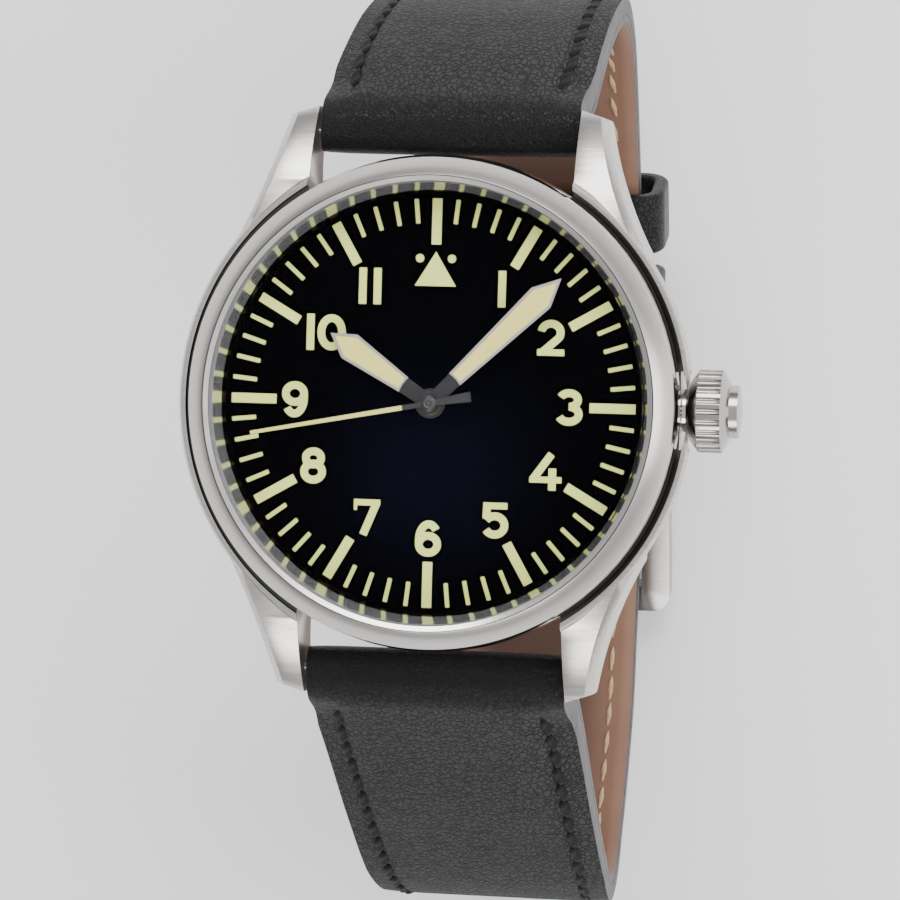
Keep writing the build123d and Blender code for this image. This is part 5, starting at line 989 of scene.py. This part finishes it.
def stitch_rows(half, first, last, pitch, length, thick, on_lining):
    """Two rows of stitches along a strap half, on the leather or on the lining."""
    mesh = bmesh.new()
    travelled = 0.0
    for index in range(first, last):
        travelled += (half.line[index] - half.line[index - 1]).length
        if travelled < pitch:
            continue
        travelled = 0.0
        width = half.half_width(index)
        x = width - half.inset
        drop = section_drop(width, x, half.padding(index), half.inset, half.seam(index)) - STITCH_SUNK
        if on_lining:
            drop = half.depth(index) + half.lining + THREAD_RISE
        heading = half.heading(index)
        out = half.outward(index)
        spot = half.line[index] - drop * out
        for sign in (-1, 1):
            along = Vector((0.1 * sign, half.side * heading.x, heading.y)).normalized()
            away = Vector((0, half.side * out.x, out.y))
            add_stitch(mesh, half.world(sign * x, spot), along, away, length * MM, thick * MM)
    smooth(mesh)
    return mesh


def cutter(box_low, box_high):
    """A plain box used only to cut a slot."""
    mesh = bmesh.new()
    bmesh.ops.create_cube(mesh, size=1.0)
    size = box_high - box_low
    bmesh.ops.scale(mesh, vec=size, verts=mesh.verts)
    bmesh.ops.translate(mesh, vec=(box_low + box_high) / 2, verts=mesh.verts)
    return mesh


def hole_cutter(y):
    """A round punch through the tail at a world Y in millimetres."""
    height = BACK_ARC_Z - sqrt(LOWER_ARC ** 2 - (y - BACK_ARC_Y) ** 2)
    mesh = bmesh.new()
    bmesh.ops.create_cone(mesh, cap_ends=True, segments=32, radius1=HOLE_RADIUS * MM,
                          radius2=HOLE_RADIUS * MM, depth=8.0 * MM)
    tilt = Matrix.Rotation((y - BACK_ARC_Y) / LOWER_ARC, 4, "X")
    bmesh.ops.transform(mesh, matrix=Matrix.Translation((0, y * MM, height * MM)) @ tilt, verts=mesh.verts)
    return mesh


def cut(shown, cutters):
    """Cut shapes out of a finished piece and keep the result as its mesh."""
    for mesh in cutters:
        tool = placed("cutter", filled("cutter", mesh))
        step = shown.modifiers.new("Cut", "BOOLEAN")
        step.operation = "DIFFERENCE"
        step.solver = "EXACT"
        step.object = tool
        bpy.context.view_layer.update()
        seen = shown.evaluated_get(bpy.context.evaluated_depsgraph_get())
        result = bpy.data.meshes.new_from_object(seen)
        shown.modifiers.clear()
        old = shown.data
        shown.data = result
        bpy.data.meshes.remove(old)
        bpy.data.objects.remove(tool)


def copy_of(node, name, body, slot, material):
    """A merged copy of a CAD node, as the start of a piece that stands for it."""
    mesh = bmesh.new()
    mesh.from_mesh(frame["nodes"][node].data)
    bmesh.ops.remove_doubles(mesh, verts=mesh.verts, dist=0.0005 * MM)
    bmesh.ops.dissolve_limit(mesh, angle_limit=radians(1), verts=mesh.verts, edges=mesh.edges)
    smooth(mesh)
    return piece(name, mesh, body, slot, material)


# Operators: one for each group of pieces


class WatchOperator(bpy.types.Operator):
    """Base of the watch's operators."""

    bl_idname = "watch.base"
    bl_label = "Watch base"
    bl_options = {"REGISTER"}

    def sizes(self, context):
        """The sizes of this scene."""
        return context.scene.watch_sizes

    def colours(self, context):
        """The colours of this scene, as plain numbers."""
        return {name: tuple(getattr(context.scene.watch_colours, name))
                for name in ("steel", "lume", "hand_lume", "leather", "lining", "thread")}


class WATCH_OT_case(WatchOperator):
    """Finish the case, bezel, back, crown, tube, seals and spring bars"""

    bl_idname = "watch.case"
    bl_label = "Case and crown"

    def execute(self, context):
        steel = self.colours(context)["steel"]
        satin = case_steel(steel).material
        back = satin_steel("Case back steel", steel, (16000.0, 9000.0, 9000.0), (0.25, 0.35), 0.3, True)
        bezel = bezel_steel(steel).material
        polish = polished_steel("Polished steel", scaled(steel, 1.05)).material
        rubber = black_rubber().material
        dress("case_middle", satin, 30.0, 0.05)
        dress("bezel", bezel, 30.0, 0.06)
        dress("case_back", back.material, 30.0, 0.05)
        dress("crown", polished_steel("Crown steel", scaled(steel, 0.72), (0.16, 0.24)).material,
              42.0, 0.04)
        dress("crown_tube", polish, 42.0)
        dress("flange_ring", flange_steel().material)
        dress("spring_bar_tubes", polish)
        for place in ("upper_left", "upper_right", "lower_left", "lower_right"):
            dress("bar_pin_" + place, polish)
        for node in ("crystal_gasket", "case_back_gasket", "crown_gasket"):
            dress(node, rubber)
        return {"FINISHED"}


class WATCH_OT_crystal(WatchOperator):
    """Finish the crystal and lay the polished lip round it"""

    bl_idname = "watch.crystal"
    bl_label = "Crystal"

    def execute(self, context):
        dress("crystal", crystal_glass().material, 25.0)
        bright = scaled(self.colours(context)["steel"], 1.3)
        piece("crystal_lip", crystal_lip(), "case", "polished_steel",
              polished_steel("Lip steel", bright, (0.14, 0.22)).material)
        return {"FINISHED"}


class WATCH_OT_dial(WatchOperator):
    """Finish the dial and its marks, and print the numbers"""

    bl_idname = "watch.dial"
    bl_label = "Dial"

    def execute(self, context):
        lume = lume_paint("Pale lume", self.colours(context)["lume"]).material
        dress("dial", dial_black().material)
        dress("dial_lume", lume)
        numbers = piece("dial_numerals", dial_numerals(self.sizes(context)), "case", "pale_lume", lume)
        keep_sharp(numbers, 30)
        return {"FINISHED"}


class WATCH_OT_hands(WatchOperator):
    """Finish the hands and fill their windows"""

    bl_idname = "watch.hands"
    bl_label = "Hands"

    def execute(self, context):
        colours = self.colours(context)
        bright = scaled(colours["steel"], 1.25)
        fill = lume_paint("Hand lume", colours["hand_lume"]).material
        dress("hour_hand", hand_finish("Hour hand steel", bright, 2.5).material)
        dress("minute_hand", hand_finish("Minute hand steel", bright, 2.68).material)
        needle = second_hand_finish(colours["hand_lume"]).material
        dress("second_hand", needle)
        piece("hour_hand_fill", inlay(HOUR_FILL, HOUR_TURN, HOUR_TOP), "hours", "pale_lume", fill)
        piece("minute_hand_fill", inlay(MINUTE_FILL, MINUTE_TURN, MINUTE_TOP), "minutes", "pale_lume", fill)
        piece("second_hub_cap", hub_cap(SECOND_TOP), "seconds", "second_hand_black", needle)
        return {"FINISHED"}


class WATCH_OT_movement(WatchOperator):
    """Finish the movement inside the case"""

    bl_idname = "watch.movement"
    bl_label = "Movement"

    def execute(self, context):
        nickel = movement_nickel().material
        brass = movement_brass().material
        steel = polished_steel("Movement steel", (0.42, 0.42, 0.43)).material
        stones = ruby().material
        finishes = {"movement_nickel": nickel, "movement_brass": brass, "movement_steel": steel,
                    "jewel_red": stones}
        for part in frame["record"]["subparts"]:
            if part["material_slot"] in finishes:
                dress(part["node"], finishes[part["material_slot"]])
        return {"FINISHED"}


class WATCH_OT_strap(WatchOperator):
    """Model the leather, the lining and the stitches of both strap halves"""

    bl_idname = "watch.strap"
    bl_label = "Strap"

    def execute(self, context):
        colours = self.colours(context)
        sizes = self.sizes(context)
        hide = strap_hide(colours["leather"]).material
        edge = edge_paint().material
        tan = smooth_lining(colours["lining"]).material
        dark = thread_finish("Dark thread", colours["thread"]).material
        pale = thread_finish("Pale thread", (0.50, 0.34, 0.20)).material
        pitch = sizes.stitch_pitch / MM
        for name, side in (("strap_upper", 1), ("strap_lower", -1)):
            half = StrapHalf(sizes, side)
            last = len(half.line) - 1
            band = piece(name + "_leather_band", strap_leather(half), "case", "charcoal_leather", hide, edge)
            stop = last - (LINING_SHORT if side > 0 else 0)
            under = piece(name + "_lining_band", band_under(half, LINING_START, stop), "case",
                          "tan_lining", tan, edge)
            if side > 0:
                cut(band, [cutter(BAR_SLOT[0] * MM, BAR_SLOT[1] * MM)])
            else:
                for shown in (band, under):
                    holes = [hole_cutter(sum(TONGUE_SLOT) / 2 + step * HOLE_PITCH) for step in TAIL_HOLES]
                    holes.append(cutter(Vector((-TAIL_SLOT_HALF, TONGUE_SLOT[0], TAIL_SLOT_Z[0])) * MM,
                                        Vector((TAIL_SLOT_HALF, TONGUE_SLOT[1], TAIL_SLOT_Z[1])) * MM))
                    cut(shown, holes)
            soften(band, 0.28)
            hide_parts(name + "_leather")
            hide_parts(name + "_lining")
            end = last - STITCH_SHORT
            rows = stitch_rows(half, STITCH_START, end, pitch, STITCH_SHARE * pitch, STITCH_THICK, False)
            piece(name + "_stitches", rows, "case", "charcoal_leather", dark)
            rows = stitch_rows(half, LINING_STITCH_START, end, pitch, LINING_STITCH_SHARE * pitch,
                               LINING_STITCH_THICK, True)
            piece(name + "_lining_stitches", rows, "case", "tan_lining", pale)
        return {"FINISHED"}


class WATCH_OT_keepers(WatchOperator):
    """Model the two leather keepers"""

    bl_idname = "watch.keepers"
    bl_label = "Keepers"

    def execute(self, context):
        hide = keeper_leather().material
        for node, body in (("fixed_keeper", "case"), ("free_keeper", "loose_keeper")):
            loop = copy_of(node, node + "_loop", body, "charcoal_leather", hide)
            soften(loop, 0.35, 4, 30.0)
            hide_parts(node)
        return {"FINISHED"}


class WATCH_OT_buckle(WatchOperator):
    """Finish the buckle"""

    bl_idname = "watch.buckle"
    bl_label = "Buckle"

    def execute(self, context):
        steel = self.colours(context)["steel"]
        satin = satin_steel("Buckle steel", scaled(steel, 0.52), (1500.0, 6000.0, 6000.0), (0.16, 0.24),
                            0.15).material
        dress("buckle_frame", satin, 30.0, 0.35)
        dress("buckle_tongue", satin, 30.0, 0.15)
        dress("buckle_bar", satin)
        return {"FINISHED"}


FLOOR_Z = -56.5
FLOOR_SIZE = 3.0
CAMERA_LENS = 158.8
CAMERA_PLACE = Vector((49.59, 3.39, 297.99))
CAMERA_TURN = Matrix(((0.9861, 0.0282, -0.164), (-0.0316, 0.9993, -0.0182), (0.1634, 0.0231, 0.9863)))
SKY_TOWARDS = (0.36, 0.05, 0.93)
LIGHTS = (
    ("Key light", (0.05, 0.5, 0.5), (0.6, 0.35), 5.0),
    ("Right light", (0.55, 0.0, 0.35), (0.35, 0.7), 2.9),
    ("Front light", (0.05, -0.55, 0.4), (0.5, 0.3), 2.7),
)


def soft_box(name, place, size, power):
    """A large soft light that looks at the watch."""
    data = bpy.data.lights.new(name, "AREA")
    data.shape = "RECTANGLE"
    data.size, data.size_y = size
    data.energy = power
    lamp = placed(name, data)
    lamp.location = place
    lamp.rotation_euler = (-Vector(place)).to_track_quat("-Z", "Y").to_euler()


def studio_sky(context):
    """A pale surround, brightest above the watch."""
    world = bpy.data.worlds.new("Studio")
    context.scene.world = world
    world.use_nodes = True
    tree = world.node_tree
    facing = add(tree, "ShaderNodeVectorMath", add(tree, "ShaderNodeTexCoord").outputs["Generated"],
                 SKY_TOWARDS, operation="DOT_PRODUCT")
    background = tree.nodes["Background"]
    put(tree, background.inputs["Strength"], ramp(tree, facing.outputs["Value"], 0.1, 0.8, 0.24, 0.8))
    background.inputs["Color"].default_value = (1.0, 1.0, 1.0, 1.0)


class WATCH_OT_stage(WatchOperator):
    """Set the floor, the lights and the camera"""

    bl_idname = "watch.stage"
    bl_label = "Stage"

    def execute(self, context):
        mesh = bmesh.new()
        bmesh.ops.create_grid(mesh, x_segments=2, y_segments=2, size=FLOOR_SIZE)
        bmesh.ops.translate(mesh, vec=(0, 0, FLOOR_Z * MM), verts=mesh.verts)
        floor = placed("floor", filled("floor", mesh))
        pale = Finish("Pale floor", (0.92, 0.92, 0.92), 0.8, specular=0.1)
        pale.set(Emission_Color=(1.0, 1.0, 1.0, 1.0), Emission_Strength=0.08)
        floor.data.materials.append(pale.material)
        studio_sky(context)
        for light in LIGHTS:
            soft_box(*light)
        camera = bpy.data.cameras.new("Camera")
        camera.sensor_width = 36.0
        camera.lens = CAMERA_LENS
        camera.clip_start = 0.01
        camera.clip_end = 20.0
        eye = placed("Camera", camera)
        eye.matrix_world = Matrix.Translation(CAMERA_PLACE * MM) @ CAMERA_TURN.transposed().to_4x4()
        context.scene.camera = eye
        return {"FINISHED"}


OPERATORS = (WATCH_OT_stage, WATCH_OT_case, WATCH_OT_crystal, WATCH_OT_dial, WATCH_OT_hands,
             WATCH_OT_movement, WATCH_OT_strap, WATCH_OT_keepers, WATCH_OT_buckle)


class WATCH_PT_pieces(bpy.types.Panel):
    """The watch's operators and sizes in the sidebar"""

    bl_idname = "WATCH_PT_pieces"
    bl_label = "Watch"
    bl_space_type = "VIEW_3D"
    bl_region_type = "UI"
    bl_category = "Watch"

    def draw(self, context):
        for operator in OPERATORS:
            self.layout.operator(operator.bl_idname)
        for group in (context.scene.watch_sizes, context.scene.watch_colours):
            for name in group.bl_rna.properties.keys():
                if name not in ("rna_type", "name"):
                    self.layout.prop(group, name)


CLASSES = (WatchSizes, WatchColours) + OPERATORS + (WATCH_PT_pieces,)


def register():
    """Register the classes and the scene's two groups of settings."""
    for item in CLASSES:
        bpy.utils.register_class(item)
    bpy.types.Scene.watch_sizes = PointerProperty(type=WatchSizes)
    bpy.types.Scene.watch_colours = PointerProperty(type=WatchColours)


def unregister():
    """Take the settings and the classes out again."""
    del bpy.types.Scene.watch_colours
    del bpy.types.Scene.watch_sizes
    for item in reversed(CLASSES):
        bpy.utils.unregister_class(item)


def main():
    """Run every operator in order."""
    register()
    for operator in OPERATORS:
        group, name = operator.bl_idname.split(".")
        getattr(getattr(bpy.ops, group), name)()
    bpy.context.view_layer.update()


if __name__ == "__main__":
    main()
